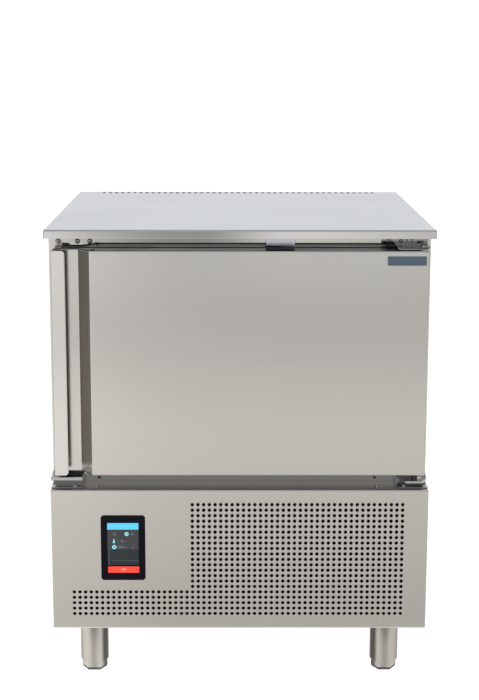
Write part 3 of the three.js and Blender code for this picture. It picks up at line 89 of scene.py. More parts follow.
class ChillerSizes(bpy.types.PropertyGroup):
    """Sizes of folds, holes and fittings."""

    sheet: bpy.props.FloatProperty(
        name="Sheet", description="Thickness of the stainless sheet", default=0.0015, unit="LENGTH",
        precision=4)
    fold: bpy.props.FloatProperty(
        name="Fold", description="Outside radius of a fold", default=0.003, unit="LENGTH", precision=4)
    top_fold: bpy.props.FloatProperty(
        name="Worktop fold", description="Outside radius of the worktop's folded edge", default=0.003,
        unit="LENGTH", precision=4)
    hole: bpy.props.FloatProperty(
        name="Hole", description="Diameter of the air inlet's holes", default=0.0076, unit="LENGTH",
        precision=4)
    pitch: bpy.props.FloatProperty(
        name="Pitch", description="Distance between the air inlet's holes", default=0.0118, unit="LENGTH",
        precision=4)
    columns: bpy.props.IntProperty(name="Columns", description="Columns of holes", default=59, min=2)
    full_columns: bpy.props.IntProperty(
        name="Full columns", description="Columns that have the inlet's whole height", default=38, min=1)
    rows: bpy.props.IntProperty(name="Rows", description="Rows of a full column", default=21, min=2)
    low_rows: bpy.props.IntProperty(
        name="Low rows", description="Rows that run on under the display", default=5, min=1)
    lip_corner: bpy.props.FloatProperty(
        name="Lip corner", description="Radius of the corners of the pull's lip", default=0.0075, unit="LENGTH",
        precision=4)
    screw: bpy.props.FloatProperty(
        name="Screw head", description="Diameter of the screw heads", default=0.0084, unit="LENGTH",
        precision=4)
    foot: bpy.props.FloatProperty(
        name="Foot", description="Diameter of a foot's sleeve", default=0.06, unit="LENGTH", precision=4)


class ChillerFinishes(bpy.types.PropertyGroup):
    """Colours of the finishes, in linear light."""

    steel: bpy.props.FloatVectorProperty(
        name="Steel", description="Brushed stainless of the casing and door", subtype="COLOR",
        default=(0.585, 0.567, 0.536), min=0, max=1)
    worktop: bpy.props.FloatVectorProperty(
        name="Worktop", description="Brushed stainless of the worktop", subtype="COLOR",
        default=(0.505, 0.50, 0.488), min=0, max=1)
    header: bpy.props.FloatVectorProperty(
        name="Header", description="Lit bar at the top of the screen", subtype="COLOR",
        default=(0.10, 0.55, 0.93), min=0, max=1)
    button: bpy.props.FloatVectorProperty(
        name="Button", description="Lit bar at the bottom of the screen", subtype="COLOR",
        default=(0.95, 0.055, 0.028), min=0, max=1)


# ---------------------------------------------------------------- finishes


class Recipe:
    """A material under construction: its nodes, its links and its shader."""

    def __init__(self, name, colour, roughness, metallic=0.0, **sockets):
        self.material = bpy.data.materials.new(name)
        self.material.use_nodes = True
        self.tree = self.material.node_tree
        self.shader = self.tree.nodes["Principled BSDF"]
        self.set(self.shader, Metallic=metallic, Roughness=roughness, **sockets)
        self.shader.inputs["Base Color"].default_value = (*colour, 1)
        self.colour = colour
        self.coordinates = self.tree.nodes.new("ShaderNodeTexCoord").outputs["Object"]

    @staticmethod
    def set(node, **sockets):
        for name, value in sockets.items():
            node.inputs[name.replace("_", " ")].default_value = value

    def add(self, kind, *links, **sockets):
        """A new node whose sockets are set by name, and linked from (socket, output) pairs."""
        node = self.tree.nodes.new(kind)
        self.set(node, **sockets)
        for name, output in links:
            self.tree.links.new(output, node.inputs[name])
        return node

    def link(self, output, socket):
        self.tree.links.new(output, self.shader.inputs[socket])

    def noise(self, scale, detail=3.0, roughness=0.6):
        """Noise whose grain is stretched: scale is cells per metre along X, Y and Z."""
        mapping = self.add("ShaderNodeMapping", ("Vector", self.coordinates), Scale=scale)
        return self.add("ShaderNodeTexNoise", ("Vector", mapping.outputs[0]), Scale=1.0, Detail=detail,
                        Roughness=roughness).outputs["Fac"]

    def ranged(self, value, low, high, start=0.3, end=0.7):
        return self.add("ShaderNodeMapRange", ("Value", value), From_Min=start, From_Max=end, To_Min=low,
                        To_Max=high).outputs[0]

    def tint(self, value, dark, light):
        """The finish's colour, from dark to light times itself as value goes from 0 to 1."""
        mix = self.tree.nodes.new("ShaderNodeMix")
        mix.data_type = "RGBA"
        self.tree.links.new(value, mix.inputs["Factor"])
        mix.inputs[6].default_value = (*(c * dark for c in self.colour), 1)
        mix.inputs[7].default_value = (*(min(1, c * light) for c in self.colour), 1)
        self.link(mix.outputs[2], "Base Color")

    def bump(self, height, strength, distance=0.0004):
        bump = self.add("ShaderNodeBump", ("Height", height), Strength=strength, Distance=distance)
        self.link(bump.outputs[0], "Normal")


GRAIN = {"x": (2.2, 620, 620), "y": (620, 2.2, 620), "z": (620, 620, 2.2)}


def brushed(name, colour, grain, roughness=0.32, spread=0.07, dark=0.95, light=1.04, bump=0.05, polished=None):
    """Stainless sheet brushed along one axis: fine lines in colour, gloss and height, over slow clouds of
    gloss. The polished part is a height and the roughness of everything below it."""
    recipe = Recipe(name, colour, roughness, 1.0)
    lines = recipe.noise(GRAIN[grain], 4.0, 0.65)
    clouds = recipe.noise((3.1, 3.1, 3.1), 2.0, 0.5)
    both = recipe.add("ShaderNodeMath", (0, lines), (1, clouds))
    both.operation = "MULTIPLY_ADD"
    both.inputs[2].default_value = 0.2
    gloss = recipe.ranged(both.outputs[0], roughness - spread, roughness + spread, 0.3, 0.6)
    if polished:
        upwards = recipe.add("ShaderNodeSeparateXYZ", ("Vector", recipe.coordinates)).outputs["Z"]
        (height, below), blend = polished, 0.0005
        gloss = recipe.add("ShaderNodeMapRange", ("Value", upwards), ("To Max", gloss), To_Min=below,
                           From_Min=height - blend, From_Max=height + blend).outputs[0]
    recipe.link(gloss, "Roughness")
    recipe.tint(recipe.ranged(lines, 0.0, 1.0, 0.3, 0.7), dark, light)
    recipe.bump(lines, bump, 0.0003)
    return recipe.material


def fill_ramp(ramp, stops):
    """Sets the stops of a smooth ramp, each a place from 0 to 1 and a colour, in rising order from 0 to 1."""
    ramp.interpolation = "EASE"
    ramp.elements[0].color, ramp.elements[-1].color = (*stops[0][1], 1), (*stops[-1][1], 1)
    for at, colour in stops[1:-1]:
        ramp.elements.new(at).color = (*colour, 1)


def reflection_banded(name, colour, roughness):
    """Turned and polished steel of the feet: lighter and darker bands run down it, by the distance outwards
    from the middle of the cabinet, as a painted reflection of the shaded underside of the cabinet and the lit
    room around it; fine rings from the lathe run round it."""
    recipe = Recipe(name, colour, roughness, 1.0)
    across = recipe.add("ShaderNodeSeparateXYZ", ("Vector", recipe.coordinates)).outputs["X"]
    outwards = recipe.add("ShaderNodeMath", (0, across))
    outwards.operation = "ABSOLUTE"
    spread = recipe.ranged(outwards.outputs[0], 0.0, 1.0, 0.28, 0.34)
    ramp = recipe.add("ShaderNodeValToRGB", (0, spread))
    fill_ramp(ramp.color_ramp, [(at, tuple(level * c for c in colour)) for at, level in FOOT_PAINTED_REFLECTION])
    recipe.link(ramp.outputs[0], "Base Color")
    rings = recipe.noise((30, 30, 900), 3.0, 0.6)
    recipe.link(recipe.ranged(rings, roughness - 0.05, roughness + 0.05), "Roughness")
    recipe.bump(rings, 0.05, 0.0003)
    return recipe.material


def moulded(name, colour, roughness=0.45, grain=900, bump=0.12, **sockets):
    """Moulded plastic or rubber: a fine even grain with slightly uneven gloss."""
    recipe = Recipe(name, colour, roughness, 0.0, **sockets)
    fine = recipe.noise((grain,) * 3, 2.0, 0.5)
    slow = recipe.noise((25, 25, 25), 2.0, 0.5)
    recipe.link(recipe.ranged(slow, roughness - 0.08, roughness + 0.08), "Roughness")
    recipe.tint(slow, 0.88, 1.1)
    recipe.bump(fine, bump, 0.0002)
    return recipe.material


def spangled(name, colour):
    """Galvanised sheet: flat crystals that differ a little in colour and gloss."""
    recipe = Recipe(name, colour, 0.42, 1.0)
    crystals = recipe.add("ShaderNodeTexVoronoi", ("Vector", recipe.coordinates), Scale=110.0)
    shade = recipe.add("ShaderNodeSeparateColor", ("Color", crystals.outputs["Color"])).outputs[0]
    recipe.link(recipe.ranged(shade, 0.34, 0.55, 0.0, 1.0), "Roughness")
    recipe.tint(shade, 0.86, 1.08)
    return recipe.material


def cast(name, colour, metallic, roughness, scale, spread=0.1, bump=0.2):
    """Bare or enamelled metal with an uneven skin."""
    recipe = Recipe(name, colour, roughness, metallic)
    skin = recipe.noise((scale,) * 3, 4.0, 0.6)
    recipe.link(recipe.ranged(skin, roughness - spread, roughness + spread), "Roughness")
    recipe.tint(skin, 0.8, 1.12)
    recipe.bump(skin, bump, 0.0004)
    return recipe.material


def foamed(name, colour):
    """Rigid foam: cells with darker seams."""
    recipe = Recipe(name, colour, 0.9)
    cells = recipe.add("ShaderNodeTexVoronoi", ("Vector", recipe.coordinates), Scale=420.0).outputs["Distance"]
    recipe.tint(cells, 0.8, 1.05)
    recipe.bump(cells, 0.5, 0.0006)
    return recipe.material


def boarded(name, colour):
    """Plain board: long fibres along X."""
    recipe = Recipe(name, colour, 0.8)
    fibres = recipe.noise((12, 160, 160), 4.0, 0.6)
    recipe.tint(fibres, 0.7, 1.15)
    recipe.bump(fibres, 0.3)
    return recipe.material


def lit(name, colour, strength):
    """A lit part of the screen under glass, with the display's fine pixel lines."""
    recipe = Recipe(name, tuple(c * 0.3 for c in colour), 0.25)
    recipe.shader.inputs["Emission Color"].default_value = (*colour, 1)
    pixels = recipe.add("ShaderNodeTexChecker", ("Vector", recipe.coordinates), Scale=9000.0)
    recipe.link(recipe.ranged(pixels.outputs["Fac"], strength * 0.92, strength, 0.0, 1.0), "Emission Strength")
    return recipe.material


# Painted reflection across a foot, from its side nearest the cabinet's middle: a dark edge where the shaded
# underside of the cabinet shows, a light band, a grey middle, a wide light band and a grey edge.
FOOT_PAINTED_REFLECTION = ((0.0, 0.04), (0.12, 0.08), (0.26, 0.44), (0.5, 0.28), (0.7, 0.42), (0.82, 0.4), (1.0, 0.13))


def make_finishes(colours):
    """Every finish by name."""
    steel, top = tuple(colours.steel), tuple(colours.worktop)
    folded_edge = (WORKTOP[1][2] * MM - 0.002, 0.07)
    return {
        "worktop_steel": brushed("worktop_steel", top, "x", 0.22, 0.03, 0.985, 1.01, 0.012, folded_edge),
        "casing_steel": brushed("casing_steel", steel, "x", 0.25, 0.035, 0.98, 1.015, 0.025),
        # side_steel is the casing steel made 1.2 times lighter: painted light on the casing's front flanges
        # beside the door.
        "side_steel": brushed("side_steel", tuple(1.2 * c for c in steel), "z", 0.30, 0.04, 0.975, 1.02, 0.02),
        "door_steel": brushed("door_steel", steel, "x", 0.18, 0.025, 0.98, 1.015, 0.025),
        # pull_steel is lighter than the door's steel: painted light on the pull's lip.
        "pull_steel": brushed("pull_steel", (0.67, 0.645, 0.622), "z", 0.2, 0.02, 0.992, 1.006, 0.006),
        "liner_steel": brushed("liner_steel", (0.60, 0.60, 0.59), "y", 0.26, 0.06),
        "inner_steel": brushed("inner_steel", (0.60, 0.60, 0.59), "x", 0.24, 0.05, 0.95, 1.04, 0.04),
        "rack_steel": brushed("rack_steel", (0.66, 0.66, 0.65), "y", 0.24, 0.05, 0.95, 1.05, 0.03),
        "bright_steel": brushed("bright_steel", (0.66, 0.66, 0.65), "x", 0.2, 0.06, 0.92, 1.06),
        # The feet and the adjusters get the painted reflection bands.
        "foot_steel": reflection_banded("foot_steel", (1.0, 0.955, 0.90), 0.2),
        "adjuster_steel": reflection_banded("adjuster_steel", (1.0, 0.97, 0.93), 0.24),
        "sole_plastic": moulded("sole_plastic", (0.085, 0.09, 0.10), 0.5, Specular_IOR_Level=0.2),
        "galvanised": spangled("galvanised", (0.50, 0.52, 0.53)),
        "board": boarded("board", (0.10, 0.095, 0.09)),
        "foam": foamed("foam", (0.80, 0.70, 0.38)),
        "cap_plastic": moulded("cap_plastic", (0.60, 0.60, 0.60), 0.2, 700, 0.02),
        "black_plastic": moulded("black_plastic", (0.006, 0.006, 0.007), 0.45, Specular_IOR_Level=0.12),
        "screen_glass": moulded("screen_glass", (0.004, 0.004, 0.009), 0.06, 40, 0.0, Specular_IOR_Level=0.1),
        "grey_plastic": moulded("grey_plastic", (0.42, 0.43, 0.45), 0.45),
        "switch_lacquer": cast("switch_lacquer", (0.76, 0.76, 0.78), 0.9, 0.22, 300, 0.03, 0.01),
        "plug_lacquer": cast("plug_lacquer", (0.34, 0.34, 0.345), 0.8, 0.28, 300, 0.04, 0.05),
        # bracket_steel and hinge_steel are darker copies of the steel: painted shade on the lower brackets
        # under the door and on the upper bracket under the worktop.
        "bracket_steel": brushed("bracket_steel", (0.42, 0.415, 0.41), "x", 0.14, 0.04, 0.96, 1.03, 0.02),
        "hinge_steel": brushed("hinge_steel", (0.27, 0.265, 0.26), "x", 0.12, 0.03, 0.96, 1.03, 0.02),
        "screw_steel": cast("screw_steel", (0.72, 0.71, 0.69), 1.0, 0.34, 200, 0.06, 0.03),
        # frame_steel is the steel made darker: painted shade of the worktop's overhang on the door frame.
        "frame_steel": brushed("frame_steel", tuple(0.7 * c for c in steel), "x", 0.05, 0.02, 0.97, 1.02,
                               0.02),
        # The condenser's fins and tubes are dark grey: painted shade, seen through the air inlet's holes.
        "condenser_painted_shade": cast("condenser_painted_shade", (0.05, 0.05, 0.052), 0.6, 0.5, 60, 0.08, 0.02),
        "seal_rubber": moulded("seal_rubber", (0.02, 0.02, 0.021), 0.6, 1400, 0.3),
        "fan_plastic": moulded("fan_plastic", (0.018, 0.018, 0.02), 0.4),
        "fin_aluminium": cast("fin_aluminium", (0.62, 0.64, 0.65), 1.0, 0.36, 60, 0.08, 0.02),
        "black_enamel": cast("black_enamel", (0.015, 0.015, 0.017), 0.0, 0.35, 300, 0.1, 0.15),
        # grey_enamel is near black: on the solids behind the air inlet it is painted shade.
        "grey_enamel": cast("grey_enamel", (0.045, 0.047, 0.05), 0.0, 0.5, 300, 0.08, 0.1),
        "copper": cast("copper", (0.62, 0.29, 0.15), 1.0, 0.3, 45, 0.1, 0.05),
        "pipe_lagging": moulded("pipe_lagging", (0.02, 0.02, 0.02), 0.85, 700, 0.6),
        "plate_enamel": moulded("plate_enamel", (0.085, 0.125, 0.165), 0.3, 700, 0.05),
        "screen_dark": lit("screen_dark", (0.030, 0.032, 0.034), 1.0),
        "screen_chart": lit("screen_chart", (0.005, 0.013, 0.016), 1.0),
        "screen_night": lit("screen_night", (0.004, 0.007, 0.017), 1.0),
        "screen_header": lit("screen_header", tuple(colours.header), 1.0),
        "screen_button": lit("screen_button", tuple(colours.button), 1.0),
        "screen_bright": lit("screen_bright", (0.30, 0.80, 0.92), 1.0),
        "screen_white": lit("screen_white", (0.75, 0.78, 0.80), 0.9),
        "screen_grey": lit("screen_grey", (0.26, 0.28, 0.30), 0.9),
        "screen_faint": lit("screen_faint", (0.055, 0.125, 0.175), 0.9),
        "screen_red": lit("screen_red", (0.42, 0.03, 0.09), 0.9),
    }


FINISH = {}

# Brightness of the floor along Y, in metres, and by the slant at which it lies from the point MIRRORED_VIEW
# on Y: everywhere, past MIDDLE, which shows in the door's top, and past FAR, which shows in the worktop's edge.
# Brightness of the room by each part of the direction. LOOKED_AT is the level of both as they are looked at.
FLOOR_DEPTH = ((-9.0, 0.66), (-6.9, 0.87), (-4.9, 0.475), (-2.5, 0.84), (-1.2, 0.66), (-0.62, 0.54),
               (-0.52, 1.12), (1.0, 1.15))
FLOOR_ACROSS = ((-1.0, 0.35), (-0.4, 1.45), (-0.13, 1.24), (-0.03, 1.0), (0.15, 0.98), (1.0, 0.75))
MIDDLE, FLOOR_MIDDLE = (-4.4, -6.4), ((-0.15, 1.5), (-0.03, 1.0), (0.15, 1.0))
FAR, FLOOR_FAR = (-7.25, -7.6), ((-0.15, 0.9), (-0.02, 0.45), (0.035, 1.65), (0.15, 1.15))
MIRRORED_VIEW = 2.76
FLOOR_RADIUS, LOOKED_AT = 9.0, 1.13
SKY_HEIGHT = ((-0.2, 1.25), (0.035, 1.1), (0.08, 0.86), (0.13, 1.06), (0.22, 1.0), (0.5, 0.9), (1.0, 0.9))
SKY_DEPTH = ((-1.0, 0.68), (0.0, 0.8), (0.6, 1.0), (1.0, 1.0))
SKY_ACROSS = ((-1.0, 0.6), (-0.6, 1.4), (-0.25, 1.0), (0.3, 1.0), (0.6, 0.6), (1.0, 0.5))

# ---------------------------------------------------------------- lines and surfaces

PLANES = {"plan": (0, 1, 2), "face": (0, 2, 1)}
TURNS = {"z": (0, 1, 2), "y": (0, 2, 1), "x": (1, 2, 0)}

# The angle at which a round opening's outline begins, so that its quarters face the corners of its cell.
FACING_CORNER = -3 * np.pi / 4


def place(line, plane, level):
    """A line drawn in plan or as seen from the front, set at its level along the third axis."""
    line = np.asarray(line, float)
    points = np.empty(line.shape[:-1] + (3,))
    a, b, c = PLANES[plane]
    points[..., a], points[..., b], points[..., c] = line[..., 0], line[..., 1], level
    return points


def unit(vectors):
    return vectors / np.maximum(np.linalg.norm(vectors, axis=-1, keepdims=True), 1e-12)


def left_of(directions):
    return np.stack([-directions[..., 1], directions[..., 0]], -1)


def rounded(corners, radius, steps=6, closed=False, right_radius=None):
    """A line with its corners rounded. Each corner turns into an arc that touches both runs: its centre lies
    on the corner's bisector, the radius over the cosine of half the turn away. Right-hand turns may have
    another radius."""
    p = np.asarray(corners, float)
    before, here, after = (np.roll(p, 1, 0), p, np.roll(p, -1, 0)) if closed else (p[:-2], p[1:-1], p[2:])
    d0, d1 = unit(here - before), unit(after - here)
    turn = np.arctan2(d0[:, 0] * d1[:, 1] - d0[:, 1] * d1[:, 0], (d0 * d1).sum(1))
    reach = np.where(turn > 0, radius, radius if right_radius is None else right_radius) * np.sign(turn)
    n0 = left_of(d0)
    centre = here + unit(n0 + left_of(d1)) * (reach / np.cos(turn / 2))[:, None]
    angle = np.arctan2(n0[:, 1], n0[:, 0])[:, None] + turn[:, None] * np.linspace(0, 1, steps + 1)
    arcs = centre[:, None] - reach[:, None, None] * np.stack([np.cos(angle), np.sin(angle)], -1)
    points = arcs.reshape(-1, 2)
    return points if closed else np.vstack([p[:1], points, p[-1:]])


def shifted(line, distance, closed=False):
    """A line moved to its left: each point goes along the bisector of its two runs, by the distance over the
    cosine of half their turn."""
    p = np.asarray(line, float)
    ahead = unit(np.roll(p, -1, 0) - p)
    behind = np.roll(ahead, 1, 0)
    if not closed:
        ahead[-1], behind[0] = behind[-1], ahead[0]
    n0, n1 = left_of(behind), left_of(ahead)
    middle = unit(n0 + n1)
    return p + middle * (distance / np.maximum((middle * n0).sum(1), 0.2))[:, None]


def box_line(x0, z0, x1, z1, radius=0.0, steps=6):
    """A rectangle's outline, anticlockwise, with rounded corners."""
    corners = [(x0, z0), (x1, z0), (x1, z1), (x0, z1)]
    return rounded(corners, radius, steps, True) if radius else np.array(corners, float)


def slot_line(half_width, half_height):
    """A slot's outline round its middle, with round ends, begun so that its quarters face the corners of a
    cell."""
    ends = min(half_width, half_height) - 0.01
    return np.roll(box_line(-half_width, -half_height, half_width, half_height, ends), -3, 0)


def circle(radius, count, x=0.0, z=0.0, start=0.0):
    angle = start + 2 * np.pi * np.arange(count) / count
    return np.stack([x + radius * np.cos(angle), z + radius * np.sin(angle)], -1)


def net(grid, around=False, along=False):
    """The quads between the rows and columns of a grid of points; around joins its last column to its first,
    and along its last row to its first."""
    rows, columns = grid.shape[:2]
    i = np.arange(rows if along else rows - 1)[:, None]
    j = np.arange(columns if around else columns - 1)[None]
    i1, j1 = (i + 1) % rows, (j + 1) % columns
    quads = np.stack([i * columns + j, i * columns + j1, i1 * columns + j1, i1 * columns + j], -1)
    return grid.reshape(-1, 3), quads.reshape(-1, 4).tolist()


def carried(line, plane, levels, around=False):
    """A line repeated at each level: the surface that it sweeps."""
    return net(np.stack([place(line, plane, level) for level in levels]), around)


def capped(grid):
    """A grid of points whose rows are rings: the quads between them, and one face over each end."""
    points, faces = net(grid, True)
    rings, n = grid.shape[:2]
    return points, faces + [list(range(n))[::-1], [i + n * (rings - 1) for i in range(n)]]


def prism(outline, plane, low, high):
    """A closed outline carried from one level to another, with both ends closed."""
    return capped(np.stack([place(outline, plane, low), place(outline, plane, high)]))


def block(x0, y0, z0, x1, y1, z1):
    return prism(box_line(x0, y0, x1, y1), "plan", z0, z1)


def walled(outer, inner, plane, low, high, around=False):
    """The wall between two lines with as many points, from low to high: a section loop carried along the
    lines."""
    grid = np.stack([place(outer, plane, low), place(outer, plane, high),
                     place(inner, plane, high), place(inner, plane, low)])
    points, faces = net(grid, around, True)
    if not around:
        n, last = grid.shape[1], grid.shape[1] - 1
        faces += [[0, 3 * n, 2 * n, n], [last, n + last, 2 * n + last, 3 * n + last]]
    return points, faces


def turned(profile, centre=(0, 0, 0), axis="z", steps=32, start=0.0, sides=None):
    """A profile of radius and height turned about an axis; sides flattens the round into a polygon: its
    radius is divided by the cosine of the angle from the middle of the nearest side."""
    r, h = np.asarray(profile, float).T
    angle = start + 2 * np.pi * np.arange(steps) / steps
    factor = np.ones(steps)
    if sides:
        half = np.pi / sides
        factor = np.cos(half) / np.cos((angle - start) % (2 * half) - half)
    ring = np.stack([np.cos(angle) * factor, np.sin(angle) * factor], -1)
    a, b, c = TURNS[axis]
    grid = np.empty((len(r), steps, 3))
    grid[..., a] = centre[a] + r[:, None] * ring[:, 0]
    grid[..., b] = centre[b] + r[:, None] * ring[:, 1]
    grid[..., c] = centre[c] + h[:, None]
    return net(grid, True)


def wire(path, radius, sides=10, closed=False, up=(0, 0, 1)):
    """A round wire along a path: rings across its tangent, in axes taken from one fixed direction."""
    p = np.asarray(path, float)
    tangent = np.roll(p, -1, 0) - np.roll(p, 1, 0) if closed else np.gradient(p, axis=0)
    tangent = unit(tangent)
    side = unit(np.cross(tangent, np.asarray(up, float)))
    lift = np.cross(side, tangent)
    angle = 2 * np.pi * np.arange(sides) / sides
    ring = side[:, None] * np.cos(angle)[:, None] + lift[:, None] * np.sin(angle)[:, None]
    grid = p[:, None] + radius * ring
    if not closed:
        grid = np.concatenate([np.repeat(p[:1, None], sides, 1), grid, np.repeat(p[-1:, None], sides, 1)])
    return net(grid, True, closed)


def spun(part, centre, angle):
    """A surface turned about the axis along Y through a centre: X and Z turn into each other by the angle."""
    points, faces = part
    out = np.asarray(points, float) - centre
    x, z = out[:, 0].copy(), out[:, 2].copy()
    out[:, 0] = math.cos(angle) * x - math.sin(angle) * z
    out[:, 2] = math.sin(angle) * x + math.cos(angle) * z
    return out + centre, faces


def pierced(xs, zs, holes, opening, plane, level):
    """A flat sheet on a grid of lines. Each chosen cell has an opening: four faces join the cell's corners to
    the quarters of the opening's outline, whose points 0, 1/4, 1/2 and 3/4 face the corners. A cell may be
    left out."""
    nx, nz = len(xs), len(zs)
    nodes = np.stack(np.meshgrid(xs, zs, indexing="ij"), -1).reshape(-1, 2)
    i, j = [a.ravel() for a in np.meshgrid(np.arange(nx - 1), np.arange(nz - 1), indexing="ij")]
    corners = np.stack([i * nz + j, (i + 1) * nz + j, (i + 1) * nz + j + 1, i * nz + j + 1], -1)
    state = holes.ravel()
    faces = corners[state == 0].tolist()
    pick = state == 1
    middles = np.stack([(xs[i] + xs[i + 1]) / 2, (zs[j] + zs[j + 1]) / 2], -1)[pick]
    count = len(opening)
    rims = (middles[:, None] + opening).reshape(-1, 2)
    ids = len(nodes) + np.arange(len(middles))[:, None] * count
    for side in range(4):
        first = side * count // 4
        back = (first + np.arange(count // 4, -1, -1)) % count
        ends = corners[pick][:, [side, (side + 1) % 4]]
        faces += np.concatenate([ends, ids + back], 1).tolist()
    return place(np.vstack([nodes, rims]), plane, level), faces


def boxed(xs, zs, fold, depth, steps=5):
    """The folded rim of a flat sheet on a grid of lines: its outline grows along a quarter circle at each
    edge, with a round corner as large, and then runs back to the depth, with lines close to both ends that
    keep it flat. Depths run away from the sheet's face."""
    theta = np.linspace(0, np.pi / 2, steps + 1)
    grow = np.append(fold * np.sin(theta), (fold,) * 3)
    back = np.append(fold * (1 - np.cos(theta)), (fold + 0.6, depth - 0.6, depth))
    corners = [(xs[0], zs[0]), (xs[-1], zs[0]), (xs[-1], zs[-1]), (xs[0], zs[-1])]
    base, normal = [], []
    runs = [np.stack([xs, np.full(len(xs), zs[0])], -1),
            np.stack([np.full(len(zs), xs[-1]), zs], -1),
            np.stack([xs[::-1], np.full(len(xs), zs[-1])], -1),
            np.stack([np.full(len(zs), xs[0]), zs[::-1]], -1)]
    for k, run in enumerate(runs):
        angle = -np.pi / 2 + k * np.pi / 2
        base += [run, np.repeat([corners[(k + 1) % 4]], steps - 1, 0)]
        turn = angle + theta[1:-1]
        normal += [np.repeat([[np.cos(angle), np.sin(angle)]], len(run), 0),
                   np.stack([np.cos(turn), np.sin(turn)], -1)]
    base, normal = np.vstack(base), np.vstack(normal)
    return base + grow[:, None, None] * normal, back


def screw(centre, axis, toward, radius=4.2, height=2.6):
    """A pan head with a cross recess: a dome over polar rings, pressed in along two slots that fade to the
    rim."""
    rings = np.array([0, 0.12, 0.22, 0.34, 0.46, 0.6, 0.74, 0.86, 0.95, 1.0, 1.0])
    angle = 2 * np.pi * np.arange(32) / 32
    x, y = rings[:, None] * np.cos(angle), rings[:, None] * np.sin(angle)
    dome = height * (0.45 + 0.55 * np.sqrt(np.maximum(0, 1 - rings ** 2)))
    dome[-1] = 0
    fade = np.clip((0.66 - rings) / 0.1, 0, 1)[:, None]
    slot = np.clip(1.6 - np.minimum(abs(x), abs(y)) / 0.11, 0, 1) * fade
    h = dome[:, None] - slot * height * 0.62
    a, b, c = TURNS[axis]
    grid = np.empty(x.shape + (3,))
    grid[..., a], grid[..., b] = centre[a] + radius * x, centre[b] + radius * y
    grid[..., c] = centre[c] + toward * h
    return net(grid, True)


# ---------------------------------------------------------------- pieces


def piece(name, parts, finish, body="root", stands_for=(), inside=None, sheet=0.0, bevel=0.0,
          sharp=32):
    """One object from several surfaces, in millimetres. An open sheet faces away from the point inside it and
    gets its thickness inwards; a closed shell has its normals worked out again. Bevel rounds its sharp
    edges."""
    points, faces, start = [], [], 0
    for p, f in parts:
        points.append(p)
        faces += [[start + i for i in face] for face in f]
        start += len(p)
    mesh = bpy.data.meshes.new(name)
    mesh.from_pydata((np.vstack(points) * MM).tolist(), [], faces)
    work = bmesh.new()
    work.from_mesh(mesh)
    bmesh.ops.remove_doubles(work, verts=work.verts, dist=2e-6)
    bmesh.ops.dissolve_degenerate(work, edges=work.edges, dist=1e-7)
    bmesh.ops.recalc_face_normals(work, faces=work.faces)
    if inside is not None:
        point = Vector(inside) * MM
        if sum(f.calc_area() * f.normal.dot(f.calc_center_median() - point) for f in work.faces) < 0:
            bmesh.ops.reverse_faces(work, faces=work.faces)
    work.to_mesh(mesh)
    work.free()
    mesh.polygons.foreach_set("use_smooth", np.ones(len(mesh.polygons), bool))
    mesh.set_sharp_from_angle(angle=math.radians(sharp))
    thing = bpy.data.objects.new(name, mesh)
    bpy.context.scene.collection.objects.link(thing)
    mesh.materials.append(FINISH[finish])
    if sheet:
        wall = thing.modifiers.new("sheet", "SOLIDIFY")
        wall.thickness, wall.offset, wall.use_even_offset = sheet * MM, -1, True
    if bevel:
        edge = thing.modifiers.new("edge", "BEVEL")
        edge.width, edge.segments, edge.limit_method = bevel * MM, 2, "ANGLE"
        edge.angle_limit = math.radians(35)
    even = thing.modifiers.new("flats", "WEIGHTED_NORMAL")
    even.keep_sharp, even.weight = True, 80
    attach(thing, body)
    if stands_for:
        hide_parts(*stands_for)
    return thing


def dress(finish, *nodes):
    """Gives solids that stay as they are their finish."""
    for node in nodes:
        thing = frame["nodes"][node]
        thing.data.materials.clear()
        thing.data.materials.append(FINISH[finish])


class ChillerOperator:
    """What every operator here shares."""

    bl_options = {"REGISTER", "UNDO"}

    def execute(self, context):
        self.build(context.scene.chiller_sizes)
        return {"FINISHED"}


class CHILLER_OT_worktop(ChillerOperator, bpy.types.Operator):
    """Worktop with folded edges, a row of warm-air slots and a black strip behind them that paints the shade in
    the slots
    """

    bl_idname = "chiller.worktop"
    bl_label = "Worktop"

    def build(self, sizes):
        low, high = WORKTOP
        sheet, fold = mm(sizes.sheet), mm(sizes.top_fold)
        count, pitch, half_width, half_length, margin, from_back = 45, 15.1, 3.5, 13.0, 4.0, 26.0
        lines = (np.arange(count + 1) - count / 2) * pitch
        xs = np.concatenate([[low[0] + fold], lines, [high[0] - fold]])
        middle = high[1] - from_back
        reach = half_length + margin
        zs = np.array([low[1] + fold, middle - reach, middle + reach, high[1] - fold])
        holes = np.zeros((len(xs) - 1, 3), int)
        holes[1:-1, 1] = 1
        top = pierced(xs, zs, holes, slot_line(half_width, half_length), "plan", high[2])
        outline, back = boxed(xs, zs, fold, high[2] - low[2])
        grid = np.stack([place(line, "plan", high[2] - depth) for line, depth in zip(outline, back)])
        piece("worktop_sheet", [top, net(grid, True)], "worktop_steel", stands_for=["worktop"],
              inside=(0, 0, low[2]), sheet=sheet)
        # A black strip inside the rear fold, behind the slots: painted shade, so that the slots look dark.
        thick, ends, hem, glue = 2.5, 14, 1, 0.3
        rear = high[1] - sheet - 0.2
        strip = block(low[0] + ends, rear - thick, low[2] + hem, high[0] - ends, rear, high[2] - sheet - glue)
        piece("rear_shade_strip", [strip], "seal_rubber", bevel=0.5)


